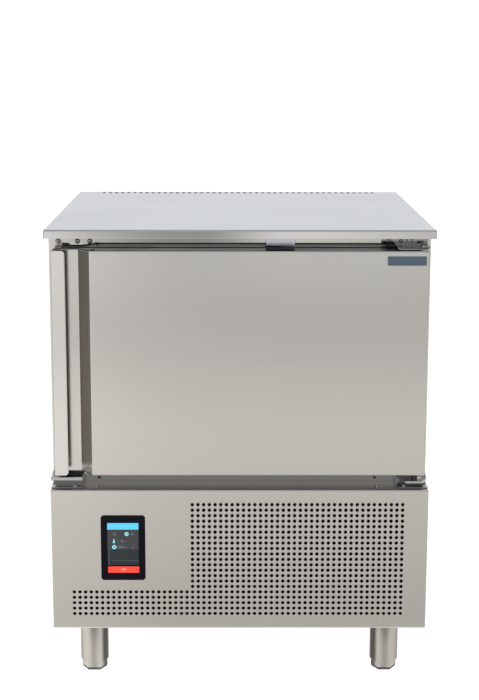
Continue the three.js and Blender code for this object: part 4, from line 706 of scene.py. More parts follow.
class CHILLER_OT_casing(ChillerOperator, bpy.types.Operator):
    """Casing sides, door frame and the plugs of unused hinge holes"""

    bl_idname = "chiller.casing"
    bl_label = "Casing"

    def build(self, sizes):
        sheet = mm(sizes.sheet)
        for hand, name in ((-1, "left"), (1, "right")):
            low, high = span(f"side_panel_{name}")
            side = high[0] if hand > 0 else -low[0]
            back = high[1]
            front_flange, back_flange, fold = 28, 20, sheet + 0.3
            plan = [(side - front_flange, FRAME_FACE), (side, FRAME_FACE), (side, back),
                    (side - back_flange, back)]
            line = rounded(plan, fold) * (hand, 1)
            # The sides' lighter steel is painted light on their front flanges.
            piece(f"casing_side_{name}", [carried(line, "plan", (low[2], high[2]))], "side_steel",
                  stands_for=[f"side_panel_{name}"], inside=(hand * (side - 60), 0, 500),
                  sheet=sheet)
        low, high = span("door_frame")
        (x0, _, z0), (x1, _, z1) = span("chamber_liner")
        inner = box_line(x0 + sheet, z0 + sheet, x1 - sheet, z1 - sheet, 15, 8)
        outer = box_line(low[0], SHELF - 1, high[0], high[2], 1.0, 8)
        face = walled(outer, inner, "face", FRAME_FACE, FRAME_FACE + sheet, True)
        # The frame's darker steel is painted shade of the worktop's overhang.
        piece("door_frame_face", [face], "frame_steel", stands_for=["door_frame"])
        plug_places, plug_level = (-372.3, -332.6, -307.3), 918.5
        plug = [(0, -2.6), (3.2, -2.5), (4.3, -2.1), (4.9, -1.4), (5.3, -1.2), (5.4, -0.5), (5.4, 0.5),
                (0, 0.5)]
        plugs = [turned(plug, (x, FRAME_FACE, plug_level), "y", 28) for x in plug_places]
        piece("hinge_hole_plugs", plugs, "plug_lacquer")


class CHILLER_OT_air_inlet(ChillerOperator, bpy.types.Operator):
    """Perforated panel of the refrigeration compartment, with its shelf, folds, screws and black strips that
    paint the shade behind the holes near its sides
    """

    bl_idname = "chiller.air_inlet"
    bl_label = "Air inlet"

    def build(self, sizes):
        sheet, fold, pitch = mm(sizes.sheet), mm(sizes.fold), mm(sizes.pitch)
        low, high = PANEL
        first_x, last_z, row_spread, return_depth = 338.5, 377.5, 1.00625, 18
        rise = pitch * row_spread
        columns = first_x + pitch / 2 - pitch * np.arange(sizes.columns, -1, -1)
        rows = last_z + rise / 2 - rise * np.arange(sizes.rows, -1, -1)
        xs = np.concatenate([[low[0] + fold], columns, [high[0] - fold]])
        zs = np.concatenate([[low[2] + fold], rows, [SHELF - fold]])
        holes = np.zeros((len(xs) - 1, len(zs) - 1), int)
        holes[1:-1, 1:1 + sizes.low_rows] = 1
        holes[-1 - sizes.full_columns:-1, 1:-1] = 1
        half_wide, half_high = 36, 60
        window_x, _, window_z = (BEZEL[0] + BEZEL[1]) / 2
        beside, above = (xs[:-1] + xs[1:]) / 2 - window_x, (zs[:-1] + zs[1:]) / 2 - window_z
        holes[(abs(beside) < half_wide)[:, None] & (abs(above) < half_high)] = 2
        opening = circle(mm(sizes.hole) / 2, 12, start=FACING_CORNER)
        face = pierced(xs, zs, holes, opening, "face", low[1])
        outline, back = boxed(xs, zs, fold, return_depth)
        rim = np.stack([place(line, "face", low[1] + depth) for line, depth in zip(outline, back)])
        last = rim[-1]
        bottom = len(xs)
        deep = np.concatenate([last[bottom - 1:], last[:1]])
        far = deep.copy()
        far[:, 1] = high[1]
        returns = net(np.stack([deep, far]))
        piece("air_inlet_panel", [face, net(rim, True), returns], "casing_steel", stands_for=["front_panel"],
              inside=(0, 0, 250), sheet=sheet)
        screw_places, screw_y = (-298.6, 287.5), -366
        screws = [screw((x, screw_y, SHELF), "z", 1) for x in screw_places]
        piece("shelf_screws", screws, "screw_steel")
        # Black strips at both sides, behind the inlet's holes: painted shade over the bare casing flanges seen
        # through them.
        shade_from, shade_to, shade_bottom, below_shelf = 346, 391, 100.5, 6
        strips = []
        for hand in (-1, 1):
            x0, x1 = sorted((hand * shade_from, hand * shade_to))
            strips.append(block(x0, FRAME_FACE - 2.6, shade_bottom, x1, FRAME_FACE - 0.4, SHELF - below_shelf))
        piece("intake_shade_strips", strips, "seal_rubber", bevel=0.4)


class CHILLER_OT_display(ChillerOperator, bpy.types.Operator):
    """Touch display: rim, glass and lit screen"""

    bl_idname = "chiller.display"
    bl_label = "Display"

    def build(self, sizes):
        (x0, y0, z0), (x1, y1, z1) = BEZEL
        face = PANEL[0][1]
        outline = box_line(x0, z0, x1, z1, 6.5, 8)
        gap, flatter = 0.3, 0.86
        steps = [(0.0, 0.0), (0.0, 1.3), (0.35, 1.85), (1.0, face - y0), (2.0, 2.2), (2.0, 1.2)]
        grid = np.stack([place(shifted(outline, inset, True), "face", face - gap - rise * flatter)
                         for inset, rise in steps])
        housing = prism(box_line(-280.3, 222, -204.7, 346, 2, 3), "face", face, y1)
        piece("display_rim", [capped(grid), housing], "black_plastic",
              stands_for=["display_bezel", "display_panel"])
        (gx0, gy0, gz0), (gx1, gy1, gz1) = GLASS
        glass = box_line(gx0, gz0, gx1, gz1, 4.5, 8)
        grid = np.stack([place(glass, "face", gy1), place(glass, "face", gy0 + 0.2),
                         place(shifted(glass, 0.2, True), "face", gy0)])
        piece("display_cover_glass", [capped(grid)], "screen_glass", stands_for=["display_glass"])
        self.screen(gy0)

    def screen(self, front):
        """The lit picture: flat shapes a hair in front of the glass, drawn in millimetres from the screen's
        corner."""
        left, bottom, wide, high = -275.0, 230.5, 64.8, 107.9
        level = front - 0.05
        bar = box_line

        def show(name, outlines, finish, lift=0.0):
            parts = []
            for outline in outlines:
                line = np.asarray(outline, float) + (left, bottom)
                parts.append(prism(line, "face", level - 0.06 - lift, level - lift))
            piece(name, parts, finish)

        def disc(x, z, radius, count=20):
            return circle(radius, count, x, z)

        show("screen_body", [bar(0, 51, wide, high)], "screen_dark")
        show("screen_graph", [bar(0, 26, wide, 51)], "screen_chart")
        show("screen_graph_foot", [bar(0, 17, wide, 26)], "screen_night")
        show("screen_heading", [bar(0, high - 14.0, wide, high)], "screen_header", 0.05)
        show("screen_stop_bar", [bar(0.8, 0, wide + 0.8, 13.6)], "screen_button", 0.05)
        show("screen_state_dots", [disc(14.7, 84.2, 3.2), disc(51.7, 84.2, 3.0)], "screen_faint", 0.1)
        show("screen_clocks", [disc(40.1, 84.2, 4.2), disc(14, 55.9, 4.4)], "screen_bright", 0.1)
        hands = [disc(40.1, 84.2, 1.7, 12), disc(14, 55.9, 1.8, 12), bar(40.2, 82.9, 42.5, 84.4),
                 bar(14, 54.6, 16.4, 56.1)]
        show("screen_clock_hands", hands, "screen_dark", 0.15)
        show("screen_bulb", [disc(13.5, 66.6, 2.2), bar(12.6, 66.6, 14.4, 73.6)], "screen_bright", 0.1)
        show("screen_alarm_dot", [disc(53.2, 55.9, 1.8)], "screen_red", 0.1)
        show("screen_rules", [bar(10, 61.7, 58, 62.1), bar(51, 68.6, 59, 69.1)], "screen_faint", 0.1)
        ticks = [bar(2.6, 17.9 + 5.1 * k, 4.6, 18.9 + 5.1 * k) for k in range(7)]
        ticks += [bar(9.0 + 5.4 * k, 26.4, 10.3 + 5.4 * k, 27.4) for k in range(11)]
        show("screen_graph_ticks", ticks, "screen_grey", 0.1)
        digits = []
        for k, digit in enumerate("-18"):
            digits += self.digit(digit, 21.5 + 4.1 * k, 66.6, 2.9, 5.0)
        for k, digit in enumerate("0090"):
            digits += self.digit(digit, 21.0 + 3.7 * k, 53.4, 2.7, 4.8)
        digits += [bar(37.4, 54.8, 41.5, 55.6), bar(35.6, 67.8, 38.4, 68.6)]
        show("screen_digits", digits, "screen_grey", 0.1)
        self.word("screen_stop_word", "OFF", left + 0.8 + wide / 2, bottom + 6.8, 5.6, level - 0.13)

    @staticmethod
    def digit(sign, x, z, wide, high):
        """A numeral from upright and level strokes, each one rectangle of the seven-stroke pattern."""
        t, h = wide * 0.17, high / 2
        strokes = {"a": (0, high - t, wide, high), "g": (0, h - t / 2, wide, h + t / 2), "d": (0, 0, wide, t),
                   "f": (0, h, t, high), "b": (wide - t, h, wide, high),
                   "e": (0, 0, t, h), "c": (wide - t, 0, wide, h)}
        lit_strokes = {"-": "g", "0": "abcdef", "1": "bc", "8": "abcdefg", "9": "abcdfg"}[sign]
        return [box_line(*strokes[s]) + (x, z) for s in lit_strokes]

    @staticmethod
    def word(name, text, x, z, height, level):
        """A generic word, turned from text into a mesh that stands in the panel's plane."""
        curve = bpy.data.curves.new(name, "FONT")
        curve.body, curve.size, curve.extrude = text, height * MM, 0.00003
        curve.align_x, curve.align_y = "CENTER", "CENTER"
        curve.resolution_u = 3
        flat = bpy.data.objects.new(name + "_flat", curve)
        bpy.context.scene.collection.objects.link(flat)
        bpy.context.view_layer.update()
        mesh = bpy.data.meshes.new_from_object(flat.evaluated_get(bpy.context.evaluated_depsgraph_get()))
        bpy.data.objects.remove(flat)
        mesh.transform(Matrix.Translation(Vector((x, level, z)) * MM) @ Matrix.Rotation(math.pi / 2, 4, "X"))
        mesh.materials.clear()
        mesh.materials.append(FINISH["screen_white"])
        thing = bpy.data.objects.new(name, mesh)
        bpy.context.scene.collection.objects.link(thing)
        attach(thing, "root")


class CHILLER_OT_door(ChillerOperator, bpy.types.Operator):
    """Door: folded skin, full-height pull, inner panel, seal and bare plate"""

    bl_idname = "chiller.door"
    bl_label = "Door"

    def build(self, sizes):
        sheet, fold = mm(sizes.sheet), mm(sizes.fold)
        (left, front, bottom), (right, back, top) = DOOR
        channel = front + 34.5
        floor_end = left + 52.5
        path = [(left + 15, back), (left, back), (left, channel), (floor_end, channel), (floor_end + 25, front),
                (right, front), (right, back), (right - 15, back)]
        line = rounded(path, fold, 6, False, fold - sheet)
        theta = np.linspace(0, np.pi / 2, 5)
        radius, flange = 3.0, 7.0
        inset = np.concatenate([[flange], (radius * (1 - np.sin(theta)))])
        rise = np.concatenate([[0], radius * (1 - np.cos(theta))])
        rows = [place(shifted(line, i), "plan", bottom + r) for i, r in zip(inset, rise)]
        rows += [place(shifted(line, i), "plan", top - r) for i, r in zip(inset[::-1], rise[::-1])]
        piece("door_skin_sheet", [net(np.stack(rows))], "door_steel", "door", ["door_skin"],
              inside=(0, (front + back) / 2, (top + bottom) / 2), sheet=sheet)
        self.pull(sizes, left, front, channel, bottom, top)
        self.inner_side()
        plate = box_line(297, 878, 375.6, 897, 1.0, 4)
        steps = ((0, 0), (0, 0.35), (0.12, 0.45), (0.75, 0.45), (0.95, 0.3), (1.1, 0.3))
        grid = np.stack([place(shifted(plate, inset, True), "face", front - rise) for inset, rise in steps])
        piece("door_bare_plate", [capped(grid)], "plate_enamel", "door")

    @staticmethod
    def pull(sizes, left, front, channel, bottom, top):
        """The pull's section: a flange on the channel's floor, a side wall and a lip whose edge is turned
        back on itself. Near the lip's edge the height follows the lip's round corners."""
        sheet, fold, corner = mm(sizes.sheet), mm(sizes.fold), mm(sizes.lip_corner)
        lip_end, flange, edge_radius = left + 28.4, 16, 1.5
        flat_end, floor = lip_end - edge_radius - 0.1, channel - 0.3
        path = [(left + flange, floor), (left, floor), (left, front), (flat_end, front)]
        outer = rounded(path, fold, 8)
        inner = shifted(outer, sheet)
        run = np.linspace(outer[-2, 0] + 1, flat_end, 14)
        lip_outer = np.stack([run, np.full(len(run), front)], -1)
        lip_inner = lip_outer + (0, sheet * 2)
        lip_inner[:4, 1] = front + sheet * np.array([1, 1, 1.4, 2])
        theta = np.linspace(0, np.pi / 2, 6)[1:]
        nose = (flat_end, front + edge_radius) + edge_radius * np.stack([np.sin(theta), -np.cos(theta)], -1)
        nose_inner = nose * (1, -1) + (0, 2 * (front + edge_radius))
        outer = np.vstack([outer[:-1], lip_outer, nose])
        inner = np.vstack([inner[:-1], lip_inner, nose_inner])
        edge = np.clip(outer[:, 0] - (lip_end - corner), 0, corner)
        drop = corner - np.sqrt(np.maximum(corner ** 2 - edge ** 2, 0.0))
        low, high = bottom + 0.5 + drop, top - 0.5 - drop
        # The pull's lighter steel is painted light.
        piece("door_pull", [walled(outer, inner, "plan", low, high)], "pull_steel", "door", ["door_handle"],
              bevel=0.3)

    @staticmethod
    def inner_side():
        """The inner panel's pressed field and the bellows of the seal, each a section carried round a rounded
        rectangle."""
        low, high = span("door_inner_panel")
        outline = box_line(low[0], low[2], high[0], high[2], 3, 6)
        steps = [(0.0, low[1]), (0.0, low[1] + 1.2), (0.3, low[1] + 1.5)]
        rings = [place(shifted(outline, inset, True), "face", level) for inset, level in steps]
        field = box_line(-298, 497, 298, 848, 18, 6)
        for grow, level in ((3.5, 1.5), (1.2, 2.0), (0.2, 3.6), (-0.2, 5.6), (-1.6, 6.7), (-4, 7.0)):
            rings.append(place(shifted(field, -grow, True), "face", low[1] + level))
        piece("door_inner_sheet", [capped(np.stack(rings))], "inner_steel", "door", ["door_inner_panel"])
        low, high = span("door_gasket")
        middle = box_line(low[0] + 8, low[2] + 8, high[0] - 8, high[2] - 8, 20, 8)
        y0, y1 = low[1], high[1]
        half = np.array([(8, 0), (8, 1.4), (6.4, 2.1), (6.6, 2.8), (7.4, 3.6), (6.8, 4.4), (5.2, 4.7),
                         (3.6, 5.3), (0, 5.6)])
        section = np.vstack([half, half[-2::-1] * (-1, 1)])
        section[:, 1] *= (y1 - y0) / half[-1, 1]
        rings = [place(shifted(middle, -grow, True), "face", y0 + rise) for grow, rise in section]
        piece("door_seal", [net(np.stack(rings), True, True)], "seal_rubber", "door", ["door_gasket"])


HINGE_PIN = (373, -370, 0)


class CHILLER_OT_fittings(ChillerOperator, bpy.types.Operator):
    """Hinge brackets, door switch and its magnet"""

    bl_idname = "chiller.fittings"
    bl_label = "Hinges and door switch"

    def build(self, sizes):
        self.lower("hinge_arm", "hinge_bracket_lower", 1)
        self.lower("spare_arm", "hinge_bracket_spare", -1)
        self.upper()
        low, high = span("door_switch")
        foot, reed_from, reed_to = 1.8, 83, 107
        cover = block(low[0], low[1], low[2] + foot, *high)
        reed = block(reed_from, low[1] + 1.2, low[2], reed_to, high[1], low[2] + 4)
        piece("switch_cover", [cover, reed], "switch_lacquer", stands_for=["door_switch"],
              bevel=0.8)
        low, high = span("door_magnet")
        piece("switch_magnet", [block(*low, *high)], "black_plastic", "door", ["door_magnet"], bevel=0.4)

    @staticmethod
    def lower(name, node, hand):
        """A folded bracket: a foot on the shelf, a riser at the frame and an arm. The arm that carries the
        door is drawn in to its nose and sits a little lower; the spare one is as wide as its foot."""
        high = span(node)[1]
        back, foot_front, plate, thick = FRAME_FACE - 0.3, -386.0, 2.0, 8.0
        inner, outer, base, rise = hand * 326.0, hand * 392.0, SHELF + 0.3, 424.0
        nose = [(inner, -380), (outer, -380)]
        if hand > 0:
            rise, thick, nose = 419.5, 6.0, [(334, -352), (344, -386), (379, -386), (390, -364)]
        arm = [(inner, back), *nose, (outer, back)]
        foot = rounded([(inner, back), (inner, foot_front), (outer, foot_front), (outer, back)], 2.5 * hand, 4,
                       False, 2.5)
        parts = [prism(foot, "plan", base, base + plate), prism(arm, "plan", rise, rise + thick),
                 block(min(inner, outer), back - 4, base + 1, max(inner, outer), back, rise + thick)]
        # The brackets' darker steel is painted shade.
        piece(name, parts, "bracket_steel", stands_for=[node], bevel=0.9)
        screw_places, screw_y = (341.9, 383.5), -374
        extra = [screw((hand * x, screw_y, base + plate), "z", 1) for x in screw_places]
        if hand > 0:
            pin = [(0, rise + 3), (5, rise + 3), (5, high[2] - 1), (4, high[2]), (0, high[2])]
            extra.append(turned(pin, HINGE_PIN, "z", 24))
        piece(name + "_screws", extra, "screw_steel")

    @staticmethod
    def upper():
        """The upper bracket: an upright flange with two screws, an arm cut back to its nose, and the pin's
        head."""
        low, high = span("hinge_bracket_upper")
        x0, x1, back = low[0], high[0], FRAME_FACE - 0.3
        z0, thick, flange, tip = 910.0, 3.5, 17.0, -385.0
        arm = rounded([(x0 + 27, back), (x0 + 27, tip), (x1, tip), (x1, back)], 3, 4)
        upright = box_line(x0, z0 + 1, x1, z0 + flange, 2.5, 4)
        face = back - 3.0
        parts = [prism(arm, "plan", z0, z0 + thick), prism(upright, "face", face, back)]
        # The upper bracket's dark steel is painted shade under the worktop.
        piece("upper_arm", parts, "hinge_steel", stands_for=["hinge_bracket_upper"],
              bevel=0.5)
        # The arm's front hem has the screws' brighter steel: a painted highlight along the dark arm's edge.
        hem = block(x0 + 30, tip, z0 - 1.4, x1 - 1, tip + 2.5, z0 + thick - 0.4)
        piece("upper_arm_hem", [hem], "screw_steel", bevel=0.6)
        stop = block(x0 + 3, tip + 1, z0 - 1, x0 + 27.5, tip + 20, z0 + 4.5)
        piece("upper_arm_stop", [stop], "black_plastic", bevel=1.0)
        screw_places, screw_level, rivet_level = (304.6, 329.6), 920.6, 921
        extra = [screw((x, face, screw_level), "y", -1, 4.4, 3.0) for x in screw_places]
        head = [(0, low[2]), (4.2, low[2]), (5, low[2] + 1), (5, z0 + 1), (7.5, z0 + 1), (7.5, z0 + 5.2),
                (6.6, z0 + 6), (0, z0 + 6)]
        extra.append(turned(head, HINGE_PIN, "z", 28))
        for x, radius in ((341.5, 2.6), (352.0, 3.2)):
            rivet = [(0, -2.2), (radius * 0.6, -2.0), (radius, -1.2), (radius, 0), (0, 0)]
            extra.append(turned(rivet, (x, face, rivet_level), "y", 16))
        piece("upper_arm_screws", extra, "screw_steel")


class CHILLER_OT_feet(ChillerOperator, bpy.types.Operator):
    """Levelling feet: sleeve, adjuster and sole"""

    bl_idname = "chiller.feet"
    bl_label = "Feet"

    def build(self, sizes):
        radius = mm(sizes.foot) / 2
        for end in ("front", "rear"):
            for hand in ("left", "right"):
                sleeve, adjuster = f"foot_sleeve_{end}_{hand}", f"foot_adjuster_{end}_{hand}"
                low, high = span(sleeve)
                x, y = (low[:2] + high[:2]) / 2
                bore, tube_top, half_plate = 27, 105.4, 37
                tube = [(bore, 20), (27.4, 18.4), (28.2, 18.3), (29.2, 20.4), (radius, 22.4), (radius, 103),
                        (radius + 1.4, 104.6), (radius + 1.6, tube_top), (bore, tube_top), (bore, 20)]
                plate = box_line(x - half_plate, y - half_plate, x + half_plate, y + half_plate, 5, 4)
                parts = [turned(tube, (x, y, 0), "z", 48), prism(plate, "plan", tube_top, high[2])]
                piece(f"foot_tube_{end}_{hand}", parts, "foot_steel", stands_for=[sleeve])
                hexagon = [(0, 5.0), (25.6, 5.0), (26.5, 5.9), (26.5, 16.8), (25.2, 18), (0, 18)]
                body = f"foot_{end}_{hand}"
                top = turned(hexagon, (x, y, 0), "z", 48, 0, 6)
                stem = turned([(0, 17.5), (15, 17.5), (15, 85), (14, 86), (0, 86)], (x, y, 0), "z", 32)
                piece(f"foot_hexagon_{end}_{hand}", [top, stem], "adjuster_steel", body, [adjuster])
                sole = turned([(0, 0), (24.5, 0), (25.6, 1.0), (26.0, 5.0), (0, 5.0)], (x, y, 0), "z", 48, 0, 6)
                piece(f"foot_sole_{end}_{hand}", [sole], "sole_plastic", body)


class CHILLER_OT_back(ChillerOperator, bpy.types.Operator):
    """Back panel with its air slots, screws and cable gland"""

    bl_idname = "chiller.back"
    bl_label = "Back"

    def build(self, sizes):
        (x0, y0, z0), (x1, y1, z1) = span("back_panel")
        spread, half_cell, half_width, half_height, first, pitch, rows = 150, 135, 120, 4, 175, 26, 7
        fold, lip = 0.4, 3
        xs = np.array([x0 + fold, -spread - half_cell, -spread + half_cell,
                       spread - half_cell, spread + half_cell, x1 - fold])
        zs = np.concatenate([[z0 + fold], first - pitch / 2 + pitch * np.arange(rows + 1), [z1 - fold]])
        holes = np.zeros((5, len(zs) - 1), int)
        holes[1::2, 1:-1] = 1
        slot = slot_line(half_width, half_height)
        face = pierced(xs, zs, holes, slot, "face", y1)
        outline, back = boxed(xs, zs, fold, y1 - y0, 3)
        rim = np.stack([place(line, "face", y1 - depth) for line, depth in zip(outline, back)])
        lips = []
        for x in (-spread, spread):
            for z in first + pitch * np.arange(rows):
                edge = slot + (x, z)
                behind = place(shifted(edge, -0.1, True), "face", y0 - lip)
                lips.append(net(np.stack([place(edge, "face", y1), behind]), True))
        piece("back_sheet", [face, net(rim, True), *lips], "galvanised", stands_for=["back_panel"],
              inside=(0, 0, 500))
        heads = [(x, z) for x in (-380, 380) for z in (124, 320, 520, 720, 915)]
        heads += [(x, z) for x in (-200, 0, 200) for z in (119, 919)]
        screws = [screw((x, y1, z), "y", 1, mm(sizes.screw) / 2) for x, z in heads]
        piece("back_screws", screws, "screw_steel")
        (gx0, _, gz0), (gx1, _, gz1) = span("cable_gland")
        centre = ((gx0 + gx1) / 2, 0, (gz0 + gz1) / 2)
        nut = [(0, y1), (14, y1), (15, y1 + 1), (15, y1 + 4.4), (14.2, y1 + 5.2), (0, y1 + 5.2)]
        dome = [(0, y1 + 5), (11.6, y1 + 5), (12.2, y1 + 5.6), (12.2, y1 + 7), (10.5, y1 + 8.6),
                (7.5, y1 + 9.4), (5, y1 + 9.5), (4.2, y1 + 9), (4.2, y1 + 5.6), (0, y1 + 5.6)]
        parts = [turned(nut, centre, "y", 48, 0, 6), turned(dome, centre, "y", 36)]
        piece("lead_gland", parts, "black_plastic", stands_for=["cable_gland"])


class CHILLER_OT_chamber(ChillerOperator, bpy.types.Operator):
    """Chamber: coved lining, drain cover and the two tray racks"""

    bl_idname = "chiller.chamber"
    bl_label = "Chamber"

    def build(self, sizes):
        sheet = mm(sizes.sheet)
        (x0, y0, z0), (x1, y1, z1) = span("chamber_liner")
        outline = box_line(x0, z0, x1, z1, 16.5, 10)
        theta = np.linspace(0, np.pi / 2, 7)
        cove = 8.0
        inset = np.concatenate([[0], cove * (1 - np.cos(theta))])
        depth = np.concatenate([[y0], y1 - cove + cove * np.sin(theta)])
        grid = np.stack([place(shifted(outline, i, True), "face", y) for i, y in zip(inset, depth)])
        points, faces = net(grid, True)
        n = len(outline)
        faces.append([i + n * (len(inset) - 1) for i in range(n)])
        piece("chamber_lining", [(points, faces)], "liner_steel", stands_for=["chamber_liner"],
              inside=(0, 0, (z0 + z1) / 2), sheet=sheet)
        drain = (0, -70, z0 + sheet)
        cover = [(0, 3.2), (5, 3.1), (5.4, 2.2), (7.6, 2.2), (8, 3.0), (13, 2.8), (13.4, 1.9), (15.6, 1.9),
                 (16, 2.6), (21, 2.0), (24, 1.7), (24.6, 1.0), (24.6, 0.4), (0, 0.4)]
        piece("drain_cover", [turned(cover, drain, "z", 48)], "screw_steel")
        for hand, name in ((-1, "left"), (1, "right")):
            self.rack(sizes, name, hand, sheet)

    @staticmethod
    def rack(sizes, name, hand, sheet):
        """Two upright posts, and for each tray an angle whose section is folded round and whose end is closed
        by a stop."""
        low, high = span(f"tray_rack_{name}")
        wall, edge, post, first, pitch = 329.7, 293.7, 15, 500, 70
        face = wall - post + sheet / 2
        parts = []
        posts = (low[1] + 30, high[1] - 45)
        for y in posts:
            outline = box_line(wall - post, y, wall, y + post, 2.2, 4) * (hand, 1)
            parts.append(prism(outline, "plan", low[2], high[2]))
        for z in first + pitch * np.arange(5):
            path = rounded([(edge, z), (face, z), (face, z + 20)], 2.6, 4)
            inner = shifted(path, sheet)
            parts.append(walled(path * (hand, 1), inner * (hand, 1), "face", low[1], high[1]))
            ends = sorted((hand * edge, hand * face))
            parts.append(block(ends[0], high[1] - sheet, z + 0.2, ends[1], high[1], z + 8))
        piece(f"rack_{name}", parts, "rack_steel", stands_for=[f"tray_rack_{name}"],
              bevel=0.35)
        heads = [screw((hand * (wall - post), y + post / 2, z), "x", -hand, mm(sizes.screw) / 2, 2.2)
                 for y in posts for z in (489, 858)]
        piece(f"rack_screws_{name}", heads, "screw_steel")


class CHILLER_OT_air_circuit(ChillerOperator, bpy.types.Operator):
    """Evaporator panel with its fan and guard, the condenser fan, their motors and both finned coils"""

    bl_idname = "chiller.air_circuit"
    bl_label = "Air circuit"

    def build(self, sizes):
        sheet = mm(sizes.sheet)
        (x0, y0, z0), (x1, y1, z1) = span("evaporator_panel")
        centre = np.array([0, 161.5, 672.5])
        mouth, throat, fold, half_cell = 132.0, 126.0, 3.0, 160
        xs = np.array([x0 + fold, -half_cell, half_cell, x1 - fold])
        zs = np.array([z0, centre[2] - half_cell, centre[2] + half_cell, z1])
        holes = np.zeros((3, 3), int)
        holes[1, 1] = 1
        face = pierced(xs, zs, holes, circle(mouth, 96, start=FACING_CORNER), "face", y0)
        theta = np.linspace(0, np.pi / 2, 7)
        bell = np.stack([mouth - (mouth - throat) * np.sin(theta), y0 + 6 * (1 - np.cos(theta))], -1)
        bell = np.vstack([bell, [(throat, y0 + 9)]])
        rim = turned(bell, (0, 0, centre[2]), "y", 96, FACING_CORNER)
        wings = []
        for hand in (-1, 1):
            path = rounded([(x1 - 12, y0), (x1, y0), (x1, y1)], fold, 6)[1:] * (hand, 1)
            wings.append(carried(path, "plan", zs))
        piece("evaporator_sheet", [face, rim, *wings], "inner_steel", stands_for=["evaporator_panel"],
              inside=(0, y1, centre[2]), sheet=sheet)
        heads = [screw((x, y0, z), "y", -1, mm(sizes.screw) / 2) for x in (-250, 250) for z in (490, 672, 856)]
        piece("evaporator_screws", heads, "screw_steel")
        self.guard(centre, y0)
        self.fan("evaporator", centre, 120, 34)
        self.fan("condenser", np.array([120, -269.7, 241.6]), 108, 34)
        self.coil("evaporator_coil", -14, 480, 24, 4.0, 6, "fin_aluminium", "copper")
        # The condenser coil's fins and tubes take the dark finish of painted shade.
        self.coil("condenser_coil", 120, 430, 16, 3.6, 5, "condenser_painted_shade", "condenser_painted_shade")

    @staticmethod
    def guard(centre, panel):
        """Seven round wires and four spokes, each a ring of points carried along its path, with a screwed eye
        at the end of every spoke."""
        level, thin, first, last, reach = panel - 3.3, 1.2, 34.0, 136.0, 145.0
        hub = np.array([centre[0], 0, centre[2]])
        plate = [(0, -1.6), (14, -1.6), (15.4, -0.9), (15.4, 0.6), (14.8, 1.2), (0, 1.2)]
        shank = [(0, -2.4), (2.4, -2.4), (2.4, 0), (0, 0)]
        parts, heads = [turned(plate, hub + (0, level + 2, 0), "y", 40)], []
        for radius in np.linspace(first, last, 7):
            ring = place(circle(radius, 96, centre[0], centre[2]), "face", level)
            parts.append(wire(ring, thin, 8, True, (0, 1, 0)))
        for k in range(4):
            angle = math.pi / 4 + k * math.pi / 2
            along = np.array([math.cos(angle), 0, math.sin(angle)])
            across = (-along[2], 0, along[0])
            for run, lift in (((14, 24, first), (2, 2, 2)), ((first, 80, last, 139, 141), (2, 2, 2, 2, 2.2))):
                forward = level + np.array(lift)
                path = hub + np.multiply.outer(run, along) + np.multiply.outer(forward, (0, 1, 0))
                parts.append(wire(path, thin, 8, False, across))
            spot = hub + along * reach
            eye = place(circle(4.4, 24, spot[0], spot[2]), "face", panel - 1.3)
            parts.append(wire(eye, thin, 8, True, (0, 1, 0)))
            heads.append(screw(spot + (0, panel - 2.4, 0), "y", -1, 4.0, 1.8))
            heads.append(turned(shank, spot + (0, panel, 0), "y", 12))
        piece("fan_guard", parts, "screw_steel", stands_for=["evaporator_fan_guard"],
              sharp=50)
        piece("fan_guard_screws", heads, "screw_steel")

    @staticmethod
    def blade(centre, radius, hub, width=30.0, thick=2.2):
        """A fan blade over s, the share of its length, and t, from edge to edge. The pitch falls with s, the
        chord grows with s and is drawn in along an ellipse at the tip, the section bows by a parabola in t,
        and the thickness falls to the edges by another one."""
        s, t = np.meshgrid(np.linspace(0, 1, 17), np.linspace(-0.5, 0.5, 15), indexing="ij")
        r = hub - 3 + s * (radius - hub + 3)
        pitch = np.radians(50 - 22 * s)
        chord = width * (1.35 + 0.9 * s - 0.35 * s ** 2)
        drawn = t * np.sqrt(1 - 0.6 * np.clip((s - 0.8) / 0.2, 0, 1) ** 2)
        bow = 0.12 * chord * (1 - 4 * drawn ** 2)
        angle = (drawn * chord * np.cos(pitch) - bow * np.sin(pitch)) / r
        faces = []
        for side in (0, 1):
            depth = 0.62 * drawn * chord * np.sin(pitch) + bow * np.cos(pitch)
            depth = depth + side * thick * (0.3 + 0.7 * (1 - 4 * t ** 2))
            faces.append(centre + np.stack([r * np.cos(angle), depth, r * np.sin(angle)], -1))
        return capped(np.concatenate([faces[0], faces[1][:, ::-1]], 1))

    @classmethod
    def fan(cls, name, centre, radius, hub):
        """Five blades round a hub, and the motor behind them with its shaft and four arms."""
        blades = [spun(cls.blade(centre, radius, hub), centre, 2 * math.pi * k / 5) for k in range(5)]
        cap = [(0, -13.4), (6.4, -13.4), (7.4, -15), (23, -15), (hub - 4, -13.4), (hub, -9), (hub, 14),
               (hub - 1, 15), (0, 15)]
        boss = turned(cap, centre, "y", 56)
        piece(f"{name}_propeller", [boss, *blades], "fan_plastic", f"{name}_rotor", [f"{name}_fan"], sharp=40)
        start, foot, out = 19.0, -19.7, radius + 20.0
        can = [(0, start), (27, start), (29, start + 0.6), (40, start + 5), (42, start + 7.5), (42, start + 14),
               (40.8, start + 14.6), (40.8, start + 17), (42, start + 17.6), (42, start + 31), (40, start + 35),
               (35, start + 38), (0, start + 38)]
        shaft = [(0, 15.2), (4, 15.2), (4, start + 1), (0, start + 1)]
        section = np.array([(out - 3, start + 8), (out - 3, foot), (out + 12, foot), (out + 12, foot + 2),
                            (out, foot + 2), (out, start + 11), (21, start + 11), (21, start + 8)])
        arm = prism(section + centre[:2], "plan", centre[2] - 4, centre[2] + 4)
        arms = [spun(arm, centre, math.pi / 4 + k * math.pi / 2) for k in range(4)]
        parts = [turned(can, centre, "y", 56), turned(shaft, centre, "y", 20), *arms]
        piece(f"{name}_motor_can", parts, "black_enamel", stands_for=[f"{name}_motor"], bevel=0.5)

